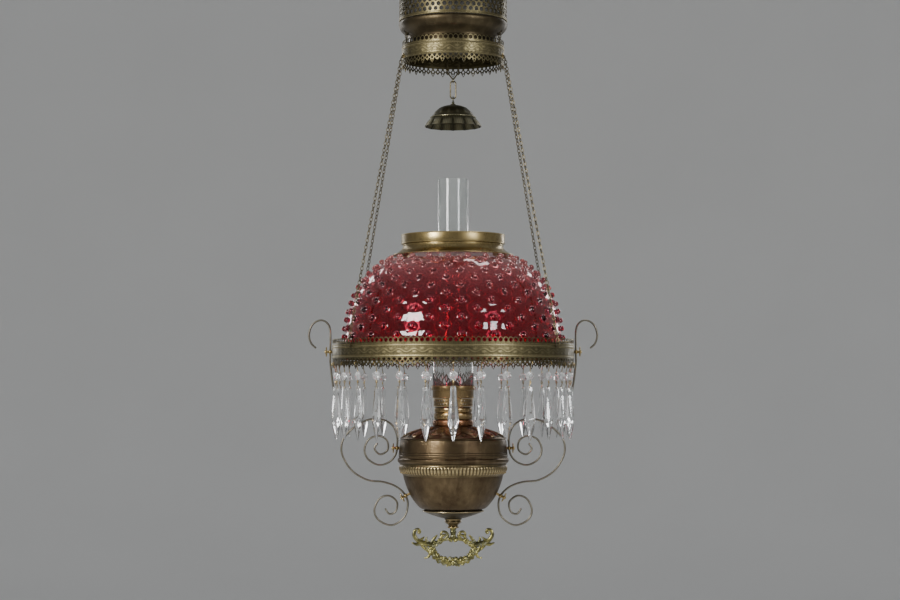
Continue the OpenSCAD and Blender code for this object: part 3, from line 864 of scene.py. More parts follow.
def near_eyelets(angle, radius, height):
    """The holes that the chains' eyelets sit in."""
    x, y = abs(radius * math.cos(angle)), abs(radius * math.sin(angle))
    return x > y and math.hypot(y - CHAIN_Y, height - GUIDE_H) < 3.3


def make_lower_band():
    r, low, high = size_of("lower_band")
    shape = gallery(r, SHEET, 64, high - 13, high, high - 4.5, 3.35)
    shape.join(ornament_band(r + 0.4, 0.8, high - 31, high - 11, 22, 660, 0.9, near_eyelets))
    for h in (high - 9.8, high - 14.6, high - 27.4):
        shape.join(bead_row(220, r + 0.35, h, 0.62))
    shape.join(lace(r, SHEET, 30, high - 29, high - 32.8, low + 8, low + 3.6, low))
    make("lower_lace_band", shape, "canopy", "antique_brass", ["lower_band"])


def make_bail():
    """Bent wire under the canopy, with an eye where its left end hooks on."""
    r = 1.1
    foot = foot_of("bell_bail")
    floor = top_of("bell_bail")
    ring = moved(wire(loop_of(3, 3), r, 10, closed=True),
                 Matrix.Translation((0, 0, foot + 3 + r)) @ turned_about(math.pi / 2))
    right = catmull([(9, 0, floor), (9, 0, foot + 24), (9, 0, foot + 19), (7.6, 0, foot + 16.4),
                     (3.4, 0, foot + 10), (0.4, 0, foot + 6.4)], 5)
    left = catmull([(-9, 0, floor), (-9, 0, foot + 27), (-9, 0, foot + 24.6)], 5)
    arm = catmull([(-9.4, 0, foot + 19.8), (-7.8, 0, foot + 16.2), (-3.4, 0, foot + 10),
                   (-0.4, 0, foot + 6.4)], 5)
    shape = ring.join(wire(right, r, 10)).join(wire(left, r, 10)).join(wire(arm, r, 10))
    eye = wire(loop_of(2.2, 2.2, 16), 0.75, 8, closed=True)
    shape.join(eye, Matrix.Translation((-9, 0, foot + 22.4)))
    shape.join(eye, Matrix.Translation((-9.6, 0, foot + 20.6)) @ turned_about(math.pi / 2))
    make("bell_bail_wire", shape, "canopy", "chain_brass", ["bell_bail"])


def make_link():
    low, high = foot_of("bell_link") + 1.1, top_of("bell_link") - 1.1
    half = box("bell_link")[1].x - 1.1
    line = [Vector((half * math.cos(a), 0, end + half * math.sin(a)))
            for end, start in ((high - half, 0), (low + half, math.pi))
            for a in [start + math.pi * i / 14 for i in range(15)]]
    make("bell_long_link", wire(line, 1.1, 12, closed=True), "bell_hanger", "chain_brass",
         ["bell_link"])


def make_bell():
    """Smoke bell: a dome over a ring of pressed petals, with a stem and a loop."""
    r, low, high = size_of("smoke_bell")
    line = [(0.02, low + 36.2), (10, low + 35.4), (18, low + 33.2), (24.4, low + 29.4),
            (29.4, low + 24.6), (33.2, low + 19.2), (36.4, low + 14.6), (41, low + 8.4),
            (r - 0.5, low + 0.9)]
    def relief(a, radius, h):
        down = min(1.0, max(0.0, (low + 15 - h) / 15))
        petals = (1.9 * abs(math.cos(7 * a)) ** 0.4 - 1.2) * min(1.0, down * 2.2)
        veins = 0.25 * math.cos(84 * a) * bump_at(down, 0.6, 0.3)
        beads = 0.5 * bump_at(h, low + 16.8, 0.9) + 0.35 * bump_at(h, low + 31, 1.0)
        leaves = 0.5 * max(0.0, math.cos(14 * a)) * bump_at(h, low + 23.5, 3.4)
        return petals + veins + beads + leaves
    shape = pressed(evenly(rounded(line, closed=False), 0.9), SHEET, 336, relief, 1.2, soot=0.9)
    eye_r = 4.0
    stem = [(0, low + 35), (1.9, low + 35), (4.6, low + 36.2), (4.2, low + 37.4), (2.1, low + 38.2),
            (1.9, high - 2 * eye_r - 2), (2.6, high - 2 * eye_r - 1), (0, high - 2 * eye_r - 0.4)]
    shape.join(revolve(stem, 32, closed=False))
    ring = wire(loop_of(eye_r, eye_r), 1.1, 10, closed=True)
    shape.join(ring, Matrix.Translation((0, 0, high - eye_r - 1.1)) @ turned_about(math.pi / 2))
    shape.join(bead_row(90, 36.6, low + 15.6, 0.75))
    make("smoke_bell_pressed", shape, "bell", "bronzed_brass", ["smoke_bell"],
         look="smoked_brass")


# ---- chains ----

CHAIN_X, CHAIN_Y = 75.0, 20.0        # where a chain comes down beside the waist
GUIDE_H = 595.0                      # height of the eyelets in the lower band
HOOK_AZ = math.radians(35.3)         # the chain hooks' direction from the side axis
LINK_PITCH = 5.8
LINK_WIRE = 0.65
DRUM_R, WHEEL_R = 25.0, 12.0         # where the chain winds on and turns over


def middle(node):
    low, high = box(node)
    place = (low + high) / 2
    return place.x, place.z - DATUM


def over_pulley(crossed):
    """The chain's line from the winding drum round the right pulley, as in the CAD."""
    drum, wheel = middle("spring_barrel"), middle("right_pulleys")
    run = Vector((wheel[0] - drum[0], wheel[1] - drum[1]))
    slope = math.atan2(run.y, run.x)
    gap = (DRUM_R + WHEEL_R) if crossed else (DRUM_R - WHEEL_R)
    leave = slope + (-1 if crossed else 1) * math.acos(gap / run.length)
    start = leave + math.pi if crossed else leave
    line = [Vector((DRUM_R * math.cos(leave), CHAIN_Y, drum[1] + DRUM_R * math.sin(leave)))]
    for i in range(9):
        a = start * (1 - i / 8)
        line.append(Vector((wheel[0] + WHEEL_R * math.cos(a), CHAIN_Y,
                            wheel[1] + WHEEL_R * math.sin(a))))
    return line


def at_radius(r, az, h):
    return Vector((r * math.cos(az), r * math.sin(az), h))


def hook_height():
    return top_of("chain_hooks") - 7.7


def chain_line(crossed):
    """The whole line of the chain on the right back."""
    r = reach("lower_band") - 0.45
    az = math.asin(CHAIN_Y / r)
    bend = [(-3.2, 2.6), (-1.2, 0.4), (1.6, -0.4), (3.6, -2.6), (5, -7)]
    line = over_pulley(crossed) + [Vector((CHAIN_X, CHAIN_Y, GUIDE_H + 7))]
    line += [at_radius(r + dr, az, GUIDE_H + dh) for dr, dh in bend]
    line.append(at_radius(reach("ring_band") + 5.6, HOOK_AZ, hook_height() + 7.4))
    return line


def make_chain(name, sides, crossed, nodes):
    """One chain of twisted links."""
    line = chain_line(crossed)
    far = lengths(line)
    link = wire(loop_of(2.25, (LINK_PITCH + 2 * LINK_WIRE) / 2, 14), LINK_WIRE, 6, closed=True)
    count = int(far[-1] / LINK_PITCH)
    made = Shape()
    for i in range(count):
        s = far[-1] - LINK_PITCH * (i + 0.5)
        here = Vector(point_at(line, far, s))
        way = (Vector(point_at(line, far, min(s + 1.5, far[-1])))
               - Vector(point_at(line, far, max(s - 1.5, 0)))).normalized()
        wide = way.cross(Vector((0.3, 1, 0))).normalized()
        turn = math.radians(45 if i % 2 else -45)
        wide = Matrix.Rotation(turn, 3, way) @ wide
        rest = Matrix((wide, way.cross(wide), way)).transposed().to_4x4()
        made.join(link, Matrix.Translation(here) @ rest)
    flipped = moved(made, Matrix.Diagonal((sides[0], sides[1], 1, 1)))
    chain = make(name, flipped, None, "chain_brass", nodes)
    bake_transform(chain)


def make_chains():
    for side, x in (("left", -1), ("right", 1)):
        for depth, y in (("front", -1), ("back", 1)):
            make_chain(f"chain_{side}_{depth}", (x, y), side == "right", [f"{side}_chains"])


def make_chain_hooks():
    """Headed pins through the ring, each with an oval ring for the chain's last link."""
    r, h = reach("ring_band"), hook_height()
    lie = Matrix.Rotation(math.pi / 2, 4, "Y")
    pin = [(0, -3.6), (1.6, -3.4), (2.2, -2.4), (2.0, -1.4), (1.2, -1.0), (1.2, 0.9), (2.4, 1.0),
           (2.4, 1.7), (1.2, 2.0), (1.2, 3.4), (0, 3.6)]
    one = moved(revolve(pin, 20, closed=False), Matrix.Translation((r, 0, h)) @ lie)
    ring = wire(loop_of(3.3, 3.9, 20), 0.95, 10, closed=True)
    one.join(ring, Matrix.Translation((r + 5.2, 0, h + 3)))
    shape = Shape()
    for a in (HOOK_AZ, math.pi - HOOK_AZ, math.pi + HOOK_AZ, -HOOK_AZ):
        shape.join(one, turned_about(a))
    make("chain_hook_rings", shape, "lamp", "chain_brass", ["chain_hooks"])


# ---- shade ring ----


def make_ring():
    r, low, high = size_of("ring_band")
    shape = gallery(r, SHEET, 140, high - 13, high, high - 4.6, 3.4)
    shape.join(ornament_band(r + 0.4, 0.8, high - 31, high - 11.5, 46, 1012, 1.0))
    for h in (high - 10.6, high - 15.2, high - 27.4):
        shape.join(bead_row(450, r + 0.35, h, 0.62))
    shape.join(lace(r, SHEET, 65, high - 29.6, high - 34, low + 7.6, low + 4.4, low))
    make("ring_lace_band", shape, "lamp", "antique_brass", ["ring_band"])


def make_ledge():
    turned("ring_inner_ledge", "ring_ledge", "lamp", "antique_brass", 0.3, 240)


# ---- shade ----

HOBS = 21
HOB_ROWS = 12
FIRST_HOBS_R = 101.0                 # radius of the glass at the first row
LAST_HOBS_UP = 19.0                  # how far the last row lies from the glass's foot
HOB_FORM = [(6.9, 0.0), (6.0, 0.45), (5.2, 1.1), (4.6, 2.0), (4.3, 3.2), (4.2, 4.3),
            (3.6, 5.4), (2.5, 6.2), (1.2, 6.6)]
HOB_WIDTH = [1.3, 1.22, 1.12, 1.05, 1, 1, 1, 1, 1]   # how much wider than high, ring by ring


class Profile:
    """The outside of the shade's glass, measured along its length."""

    def __init__(self, line):
        self.line = line
        self.out = normals(line)
        self.far = lengths(line)
        self.length = self.far[-1]

    def at(self, s, angle, lift=0.0):
        """The point at length s and angle, lifted off the glass."""
        s = min(max(s, 0.0), self.length)
        r, h = point_at(self.line, self.far, s)
        u, v = point_at(self.out, self.far, s)
        r, h = r + u * lift, h + v * lift
        return Vector((r * math.cos(angle), r * math.sin(angle), h))

    def where_radius(self, radius):
        return next(s for s, p in zip(self.far, self.line) if p[0] >= radius)

    def radius(self, s):
        return point_at(self.line, self.far, min(max(s, 0.0), self.length))[0]


def hob_cell(glass, s, half, angle):
    """One cell of the shade's outside: an eight-by-four frame round a glass knob."""
    wide = TURN / HOBS
    frame_points = [(-0.5 + i / 8, 1) for i in range(8)] + [(0.5, 1 - i / 2) for i in range(4)]
    frame_points += [(0.5 - i / 8, -1) for i in range(8)] + [(-0.5, -1 + i / 2) for i in range(4)]
    n = len(frame_points)
    r = glass.radius(s)
    points = [glass.at(s - y * half, angle + x * wide) for x, y in frame_points]
    start = math.radians(150)
    ring = [(math.cos(start - TURN * i / n), math.sin(start - TURN * i / n)) for i in range(n)]
    size = HOB_FORM[0][0]
    for (x, y), (c, d) in zip(frame_points, ring):
        dx, dy = (x * wide * r + c * size) / 2, (y * half + d * size) / 2
        points.append(glass.at(s - dy, angle + dx / r))
    for (size, lift), wider in zip(HOB_FORM, HOB_WIDTH):
        for c, d in ring:
            points.append(glass.at(s - d * size, angle + c * size * wider / r, lift))
    loops = len(points) // n
    faces = grid(loops, n)
    points.append(glass.at(s, angle, HOB_FORM[-1][1] + 0.15))
    faces += [[(loops - 1) * n + i, (loops - 1) * n + (i + 1) % n, loops * n] for i in range(n)]
    return points, faces


def strip(glass, stops, columns):
    """Plain rings of the shade's outside at the given lengths."""
    points = [glass.at(s, TURN * k / columns) for s in stops for k in range(columns)]
    return points, grid(len(stops), columns)


def make_shade():
    """Dome of hobnail glass: one closed skin with staggered rows of knobs."""
    wall = 4.0
    columns = HOBS * 8
    glass = Profile(skin("shade", wall, 2.0))
    first = glass.where_radius(FIRST_HOBS_R)
    last = glass.length - LAST_HOBS_UP
    pitch = (last - first) / (HOB_ROWS - 1)
    shape = Shape()
    top = first - pitch / 2
    shape.add(*strip(glass, [top * i / 6 for i in range(7)], columns))
    for row in range(HOB_ROWS):
        shift = (row % 2) / 2
        for i in range(HOBS):
            shape.add(*hob_cell(glass, first + pitch * row, pitch / 2,
                                TURN * (i + 0.5 + shift) / HOBS))
    foot = last + pitch / 2
    rest = glass.length - foot
    shape.add(*strip(glass, [foot + rest * i / 3 for i in range(4)], columns))
    steps = 50
    inner = [glass.length * i / steps for i in range(steps + 1)]
    points = [glass.at(s, TURN * k / columns, -wall) for s in inner for k in range(columns)]
    points += [glass.at(s, TURN * k / columns) for s in (0.0, glass.length)
               for k in range(columns)]
    faces = grid(steps + 1, columns)
    for rim, edge in ((0, steps + 1), (steps, steps + 2)):
        faces += [[rim * columns + k, rim * columns + (k + 1) % columns,
                   edge * columns + (k + 1) % columns, edge * columns + k]
                  for k in range(columns)]
    shape.add(points, faces)
    make("hobnail_shade", shape, "lamp", "cranberry_glass", ["shade"], sharp=60)


def make_collar():
    shape = revolve(rounded(section("shade_collar"), 0.4), 192)
    r, high = reach("shade_collar"), top_of("shade_collar")
    for radius, height, thick in (
            (82.6, high - 1.0, 1.0), (83.0, high - 14.6, 0.8), (80.6, high - 18.0, 0.7),
            (r - 0.6, foot_of("shade_collar") + 0.9, 0.8)):
        shape.join(hoop(radius, height, thick))
    make("shade_collar_ring", shape, "lamp", "satin_brass", ["shade_collar"])


# ---- arms and screws ----

# Lines of the arms, as in the CAD: (distance from the axis, height), and points in space.
SCROLL = [
    (121, -26), (126, -35), (117, -44), (105, -37), (106, -22), (119, -14.5), (135, -20),
    (142, -36), (136, -52), (119, -61), (102, -56), (92, -44), (89.6, -30), (90, -14),
    (97, 2), (112, 11), (133, 12), (155, 2), (173, -15), (179, -31), (176, -49),
    (161, -71), (137, -85), (112, -88), (92, -95), (78, -107), (72.5, -123), (78, -144),
    (98, -157), (119, -149), (126, -133), (118, -115), (103, -110), (90, -120),
    (92, -135), (102, -139), (109, -130),
]
HANGER = [
    (220, 0, 126), (228, 0, 134), (231.5, 0, 148), (226, 0, 164), (213, 0, 171),
    (202, 0, 166), (197.3, 0, 153), (197.3, 0, 121), (197.3, 1, 104), (196.5, 9, 92),
    (194, 15, 70), (188, 16, 40), (180, 12, 14), (175, 4, -6), (174.5, 0.5, -15),
]
ARM_WIRE = 1.6


def make_arms():
    """Drawn wire arms with blunted ends."""
    scroll = catmull([(x, 0, h) for x, h in SCROLL], 6)
    hanger = catmull(HANGER, 8)
    flip = Matrix.Diagonal((-1, 1, 1, 1))
    for part, line, length in (("scroll", scroll, 900), ("hanger", hanger, 330)):
        right = wire(line, blunt(ARM_WIRE, length), 14)
        make(f"right_{part}_wire", right, "lamp", "dark_wire", [f"right_{part}"])
        left = moved(right, flip)
        make(f"left_{part}_wire", left, "lamp", "dark_wire", [f"left_{part}"])


def screw(reach_in):
    """A thumb screw along Z: shank, ball spacer and a knurled, dished disc."""
    line = [(0, -reach_in), (1.7, -reach_in), (2, -reach_in + 0.4), (2, -2.8)]
    line += [(3.4 * math.cos(a), 3.4 * math.sin(a))
             for a in [math.radians(b) for b in range(-54, 61, 12)]]
    line += [(2.2, 3.6), (2.2, 5), (6.6, 5), (7.35, 5.4), (7.5, 6), (7.35, 6.6), (6.6, 7),
             (5.2, 6.7), (3.2, 6.8), (2.7, 7.4), (2.4, 8.6), (1.2, 9), (0, 9)]
    def knurl(a, r, h):
        return 0.22 * math.cos(32 * a) if r > 7 else 0.0
    return revolve(line, 128, closed=False, relief=knurl, gain=3)


def make_screws():
    level = Matrix.Rotation(math.pi / 2, 4, "Y")
    tilted = Matrix.Rotation(math.radians(118), 4, "Y")
    places = [("ring", (197.5, 0, 120.2), level, 7), ("font", (89.8, 0, -34), level, 5.5),
              ("bowl", (76, 0, -110), tilted, 9)]
    for kind, place, lie, inward in places:
        one = moved(screw(inward), Matrix.Translation(place) @ lie)
        make(f"{kind}_knurled_screws", mirrored(one), "lamp", "screw_brass",
             [f"{kind}_thumb_screws"])


# ---- prisms ----

PRISMS = 28
PRISM_CIRCLE = 188.5
BUTTON_H = 80.7


def polygon_ring(w, d, h, sides=8, turn=0.5):
    """One ring of points at height h, w wide and d deep each way."""
    return [(w * math.cos(TURN * (j + turn) / sides), d * math.sin(TURN * (j + turn) / sides), h)
            for j in range(sides)]


def woven(rings, sides=8):
    """Faces between rings whose corners are half a step apart: two rows of triangles."""
    faces = []
    for i, turn in enumerate(rings[:-1]):
        same = rings[i + 1] == turn
        for j in range(sides):
            a, b = i * sides + j, i * sides + (j + 1) % sides
            c, d = a + sides, (i + 1) * sides + (j + 1) % sides
            if same:
                faces.append([a, b, d, c])
            elif turn == 0:
                faces += [[a, b, c], [b, d, c]]
            else:
                faces += [[a, d, c], [a, b, d]]
    return faces


def cut_solid(levels, sides=8):
    """A faceted solid from (half width, half depth, height, half step) levels."""
    points = [p for w, d, h, half in levels for p in polygon_ring(w, d, h, sides, half * 0.5)]
    faces = woven([half for _, _, _, half in levels], sides)
    faces.append(list(range(sides)))
    faces.append([len(points) - sides + j for j in range(sides)])
    return Shape().add(points, faces)


def drop_shape():
    """Spear drop: flat shoulders, long facets, a girdle of triangles, a pointed end."""
    return cut_solid([
        (3.4, 1.9, 65, 1), (4.6, 3.2, 63.4, 1), (4.9, 3.9, 57, 1), (5.0, 4.2, 50, 1),
        (8.9, 5.9, 15, 1), (8.6, 5.8, 9, 0), (7.2, 5.0, 1.5, 1), (0.9, 0.8, -19, 1),
    ])


def button_shape():
    """Octagonal button: a table, a crown of facets and a girdle, the same on both sides."""
    half = cut_solid([
        (3.3, 3.3, 3.7, 0), (5.7, 5.7, 2.7, 1), (7.55, 7.55, 0.5, 0), (7.55, 7.55, -0.5, 0),
        (5.7, 5.7, -2.7, 1), (3.3, 3.3, -3.7, 0),
    ])
    upright = Matrix.Translation((0, 0, BUTTON_H)) @ Matrix.Rotation(math.pi / 2, 4, "X")
    return moved(half, upright @ turned_about(math.radians(22.5)))


def pin_shape():
    """Bent brass pins: a hook through the lace, and a staple that carries the drop."""
    hook = catmull([(0, -5.6, 97.0), (0, -6.4, 100.2), (0, -4.6, 102.6), (0, -2.6, 100.0),
                    (0.3, -1.4, 94.0), (0, 0, 88.6), (0, 0, 84.6)], 4)
    made = wire(hook, blunt(0.6, 22), 8)
    made.join(wire(catmull([(0, 0, 76.8), (0, -0.2, 74), (0.5, -0.9, 70.2), (-0.4, 0.3, 66),
                            (0, 0, 61)], 4), 0.6, 8))
    made.join(wire(loop_of(1.5, 1.9, 12), 0.45, 6, closed=True),
              Matrix.Translation((0, 0, 71.6)) @ turned_about(0.9))
    return made.join(ball((0, -0.4, 88.4), 1.0, 8, 6))


def make_prisms():
    """Every prism hangs at a slightly different turn, as real ones do."""
    chance = random.Random(7)
    kinds = [("prism_cut_drops", drop_shape(), "crystal", None, "prism_drops", 0, 20),
             ("prism_cut_buttons", button_shape(), "crystal", "scuffed_crystal",
              "prism_buttons", 0, 16),
             ("prism_bent_pins", pin_shape(), "screw_brass", None, "prism_pins", 40, 0)]
    for name, one, slot, look, node, sharp, swing in kinds:
        made = Shape()
        for i in range(PRISMS):
            twist = math.radians(chance.uniform(-swing, swing))
            place = turned_about(TURN * i / PRISMS) @ Matrix.Translation((0, -PRISM_CIRCLE, 0))
            made.join(one, place @ turned_about(twist))
        make(name, made, "lamp", slot, [node], sharp=sharp, look=look)


# ---- font holder ----


def make_holder():
    """Holder band with two fine grooves, gadrooned band, bowl and foot dish."""
    def grooves(a, r, h):
        return -0.3 * (bump_at(h, -40.5, 0.55) + bump_at(h, -44.0, 0.55))
    shape = pressed(skin("holder_band", SHEET, 0.6), SHEET, 192, grooves, 2.5)
    make("holder_spun_band", shape, "lamp", "font_brass", ["holder_band"])
    high, low = top_of("gadroon_band"), foot_of("gadroon_band")
    ribs = 92
    def gadroons(a, r, h):
        share = (high - h) / (high - low)
        rise = math.sin(math.pi * min(1.0, max(0.0, (share - 0.16) / 0.72))) ** 0.6
        return rise * (1.1 * abs(math.cos(ribs / 2 * a)) ** 0.7 - 0.45)
    shape = pressed(skin("gadroon_band", SHEET, 0.8), SHEET, ribs * 8, gadroons, 1.6)
    shape.join(bead_row(ribs, 84.2, low + 5.2, 1.15))
    make("gadrooned_band", shape, "lamp", "worn_brass", ["gadroon_band"])
    def dents(a, r, h):
        return 0.22 * noise.noise(Vector((r * math.cos(a), r * math.sin(a), h)) * 0.045)
    shape = pressed(skin("holder_bowl", SHEET, 1.5), SHEET, 180, dents, 0.3)
    make("holder_spun_bowl", shape, "lamp", "font_brass", ["holder_bowl"])
    rim = top_of("foot_dish") - 1.3
    # The dish's rim and its rolled bead are painted bright: partly real wear, partly a painted
    # highlight on a rim that lies in shadow under the bowl.
    def rim_wear_and_painted_highlight(a, r, h):
        return 0.05 * bump_at(h, rim, 1.2)
    line = rounded(section("foot_dish"), 0.35)
    shape = revolve(line, 144, relief=rim_wear_and_painted_highlight, gain=18).join(hoop(48.7, rim, 0.85, wear=1.0))
    make("foot_spun_dish", shape, "lamp", "bronzed_brass", ["foot_dish"])
    turned("pull_ribbed_stem", "pull_stem", "lamp", "worn_brass", 0.3, 96)
    turned("pull_turned_washer", "pull_washer", "lamp", "screw_brass", 0.5, 72)


# ---- pull ----

# Half of the cast pull, as (distance from the axis, height): its frame and its horn.
WREATH = [
    (0, -179.2), (9, -178.8), (18, -181.2), (27, -185.6), (33.4, -190.6), (33, -197.5),
    (28.6, -205.4), (21.5, -211.6), (11.5, -214.4), (0, -214.8),
]
WREATH_SIZE = [(0, 3.0), (0.3, 3.4), (0.45, 4.6), (0.7, 5.4), (0.85, 6.3), (1.0, 6.8)]
HORN = [(34, -188), (42, -186.4), (50, -184.4), (58, -180), (62.4, -172.6), (60.8, -165.6),
        (55.4, -163.8), (52.9, -167.6), (55.2, -170.4)]
# Leaves: root, middle, tip and half width.
PULL_LEAVES = [
    ((46, -185), (57, -187.6), (66.6, -184.6), 3.2), ((58, -181), (51, -179.6), (45.6, -175.2), 2.5),
    ((44, -184), (49, -189), (43.4, -197.6), 3.4), ((44, -190), (40.6, -197), (37, -202), 3.2),
    ((36, -196), (38.6, -206), (44.4, -209.8), 2.7), ((37, -188), (31, -179), (25, -172.2), 3.0),
    ((22, -181), (17, -174), (9.5, -171.6), 2.8), ((38, -186), (43, -180), (41.6, -175.4), 2.4),
    ((8, -178), (5, -181), (0.6, -183.4), 2.8), ((34, -190), (29.6, -195), (31.4, -200), 2.4),
]
LEAF_SPACING = 0.085
ROSETTE_H = -214.6


def leaf(start, middle_point, tip, width, thick=1.5):
    """A curved acanthus leaf with a rounded back and a notched edge."""
    path = catmull([start, middle_point, tip], 7)
    n = len(path)
    points, levels, sides = [], [], 10
    for i, here in enumerate(path):
        way = (path[min(i + 1, n - 1)] - path[max(i - 1, 0)]).normalized()
        across = way.cross(Vector((0, 1, 0))).normalized()
        share = i / (n - 1)
        swell = math.sin(math.pi * min(1, 0.12 + share * 0.88)) ** 0.75
        notch = 1 - 0.22 * abs(math.sin(share * math.pi * 3.5))
        w = max(0.35, width * swell * notch)
        d = max(0.3, thick * (0.5 + 0.6 * swell))
        for j in range(sides):
            b = TURN * j / sides
            vein = 1 - 0.3 * bump_at(math.cos(b), 0, 0.3)
            points.append(here + across * (w * math.cos(b))
                          + Vector((0, 1, 0)) * (d * math.sin(b) * vein))
            levels.append(0.5 * abs(math.cos(b)) - 0.4 * bump_at(math.cos(b), 0, 0.35))
    faces = grid(n, sides)
    faces += [list(range(sides)), [(n - 1) * sides + j for j in range(sides)]]
    return Shape().add(points, faces, levels)


def level_at(table, share):
    """The value at a share of the way, from a table of (share, value)."""
    for (a, low), (b, high) in zip(table, table[1:]):
        if share <= b:
            return low + (high - low) * (share - a) / (b - a)
    return table[-1][1]


def garland(body):
    """Leaves that overlap along the frame's outside, inside and both faces."""
    made, n = Shape(), len(body)
    count = int(1 / LEAF_SPACING)
    for i in range(3, count + 1):
        share = i * LEAF_SPACING
        at = min(n - 2, int(share * (n - 1)))
        p, way = body[at], (body[at + 1] - body[at - 1]).normalized()
        out = Vector((-way.z, 0, way.x)) * -1
        size = level_at(WREATH_SIZE, share)
        for side, long in ((1, 1.12), (-1, 0.86)):
            root = p - way * 2.5 + out * (side * size * 0.2)
            bend = p + way * 1.0 + out * (side * size * 0.85)
            tip = p + way * 4.4 + out * (side * size * long)
            made.join(leaf(root, bend, tip, 2.4, 2.6))
        for face in (1, -1):
            lift = Vector((0, face * size * 0.52, 0))
            slant = out * (1.8 if i % 2 else -1.8)
            made.join(leaf(p - way * 3.5 + lift * 0.7, p + lift * 1.1 + slant * 0.6,
                           p + way * 3.2 + lift * 0.9 + slant, 2.3, 1.5))
    return made


def make_pull():
    """Cast wreath with horned scrolls: worked for one half, then mirrored."""
    body = catmull([(x, 0, h) for x, h in WREATH], 8)
    half = wire(body, lambda s: level_at(WREATH_SIZE, s) * (0.86 + 0.1 * math.sin(s * 60)), 14,
                flat=0.62)
    horn = catmull([(x, 0, h) for x, h in HORN], 7)
    half.join(wire(horn, lambda s: 4.6 - 3.0 * s, 12, flat=0.8))
    half.join(ball((55.6, 0, -168.6), 2.3, 12, 8, 0.9))
    half.join(ball((44.6, 0, -209.0), 1.9, 10, 6)).join(ball((9.4, 0, -221.6), 1.9, 10, 6))
    for start, mid, tip, width in PULL_LEAVES:
        half.join(leaf(*[(x, 0, h) for x, h in (start, mid, tip)], width, 2.6))
    half.join(garland(body))
    curl = catmull([(12, 0, -178), (8.4, 0, -173.6), (11, 0, -168.6), (16, 0, -167.2),
                    (19.6, 0, -170.6), (18.4, 0, -174.4), (15, 0, -173.6)], 6)
    half.join(wire(curl, lambda s: 2.5 - 1.2 * s, 10, flat=0.9))
    shape = mirrored(half)
    for face in (1, -1):
        for tip in ((9, -209.4), (-9, -209.4), (0, -208), (8, -218.6), (-8, -218.6), (0, -221.8)):
            root, end = (0, face * 3.4, ROSETTE_H), (tip[0], face * 3.6, tip[1])
            bend = (tip[0] * 0.6, face * 5.2,
                    (tip[1] + ROSETTE_H) / 2 + (tip[1] - ROSETTE_H) * 0.2)
            shape.join(leaf(root, bend, end, 2.6, 1.6))
        shape.join(ball((0, face * 4.6, ROSETTE_H), 2.2, 12, 8))
    stem = [(0, -181.4), (1.6, -180.6), (4.4, -178), (5.6, -175.6), (4.0, -172.6), (4.3, -169.6),
            (5.6, -167.8), (4.4, -165.6), (5.0, -163), (5.4, -161.6), (0, -161.4)]
    shape.join(revolve(stem, 40, closed=False))
    make("pull_cast_wreath", shape, "lamp", "gilt_brass", ["pull_handle"], sharp=50)


# ---- font, burner and chimney ----

SHOULDER_LEAVES = 14


def shoulder_relief(angle, radius, height):
    """Pressed leaves that lie round the font's shoulder, with buds between their tips."""
    v = (radius - 40) / 42
    if not 0 < v < 1:
        return 0.0
    u = angle * SHOULDER_LEAVES / TURN % 1 - 0.5
    half = 0.46 * math.sin(math.pi * min(1, v * 0.92 + 0.06)) ** 0.8
    inside = abs(u) / max(half, 0.02)
    if inside < 1:
        vein = 0.5 * math.exp(-(u / 0.03) ** 2)
        ribs = 0.25 * math.cos(TURN * 5 * (v + abs(u) * 0.9))
        return 1.7 * ((1 - inside ** 2) ** 0.5 * (0.75 + ribs) - vein)
    bud = math.hypot((abs(u) - 0.5) * 9, (v - 0.84) * 7)
    return 1.3 * max(0.0, 1 - bud ** 2) - 0.3


def make_font():
    wall = 0.8
    turned("font_spun_tank", "font_tank", "font", "worn_brass", 0.4, 144)
    shape = pressed(skin("font_shoulder", wall, 0.75), wall, SHOULDER_LEAVES * 40,
                    shoulder_relief, 0.75)
    make("font_embossed_shoulder", shape, "font", "font_brass", ["font_shoulder"])
    turned("font_threaded_collar", "font_collar", "font", "copper_brown", 0.5, 96)


def make_burner():
    """Burner base, pierced air neck, gallery, tubes and flame spreader."""
    turned("burner_spun_base", "burner_base", "font", "burner_brass", 0.5, 120)
    r, low, high = size_of("burner_neck")
    count = 40
    p = TURN * r / count
    side = [(0, low + 0.9), (0, low + 4), (p / 2, low + 7.5), (p / 2, low + 11), (p / 2, high - 0.7)]
    holes = [hole(p / 2, low + 4, 1.1, n=12), hole(p, low + 9.5, 1.1, n=12)]
    neck = pierced(r, SHEET, count, side, [], [], holes)
    neck.join(hoop(r - 0.3, low + 0.8, 0.8, 96)).join(hoop(r - 0.3, high - 0.8, 0.8, 96))
    make("burner_air_neck", neck, "font", "burner_brass", ["burner_neck"])
    line = rounded(section("chimney_gallery"), 0.3)
    seat = top_of("chimney_gallery")
    def crimps(a, radius, h):
        return 0.35 * math.cos(60 * a) if radius > 32.5 and h > seat - 6.5 and h < seat - 1 else 0
    gallery_shape = revolve(line, 360, relief=crimps, gain=2)
    gallery_shape.join(hoop(34.9, seat - 0.7, 0.75, 96)).join(hoop(33.0, seat - 19.6, 0.8, 96))
    make("burner_gallery", gallery_shape, "font", "burner_brass", ["chimney_gallery"])
    for node, name in (("draft_tube", "burner_draft_tube"), ("wick_tube", "burner_wick_tube")):
        turned(name, node, "font", "burner_brass", 0.3, 72)
    def dimples(a, radius, h):
        top = foot_of("flame_spreader") + 9
        return -0.3 * max(0.0, math.cos(24 * a)) * abs(math.sin(h * 1.4)) if h < top else 0
    line = evenly(rounded(section("flame_spreader"), 0.4), 0.8)
    make("burner_flame_spreader", revolve(line, 96, closed=False, relief=dimples), "font",
         "burner_brass", ["flame_spreader"])


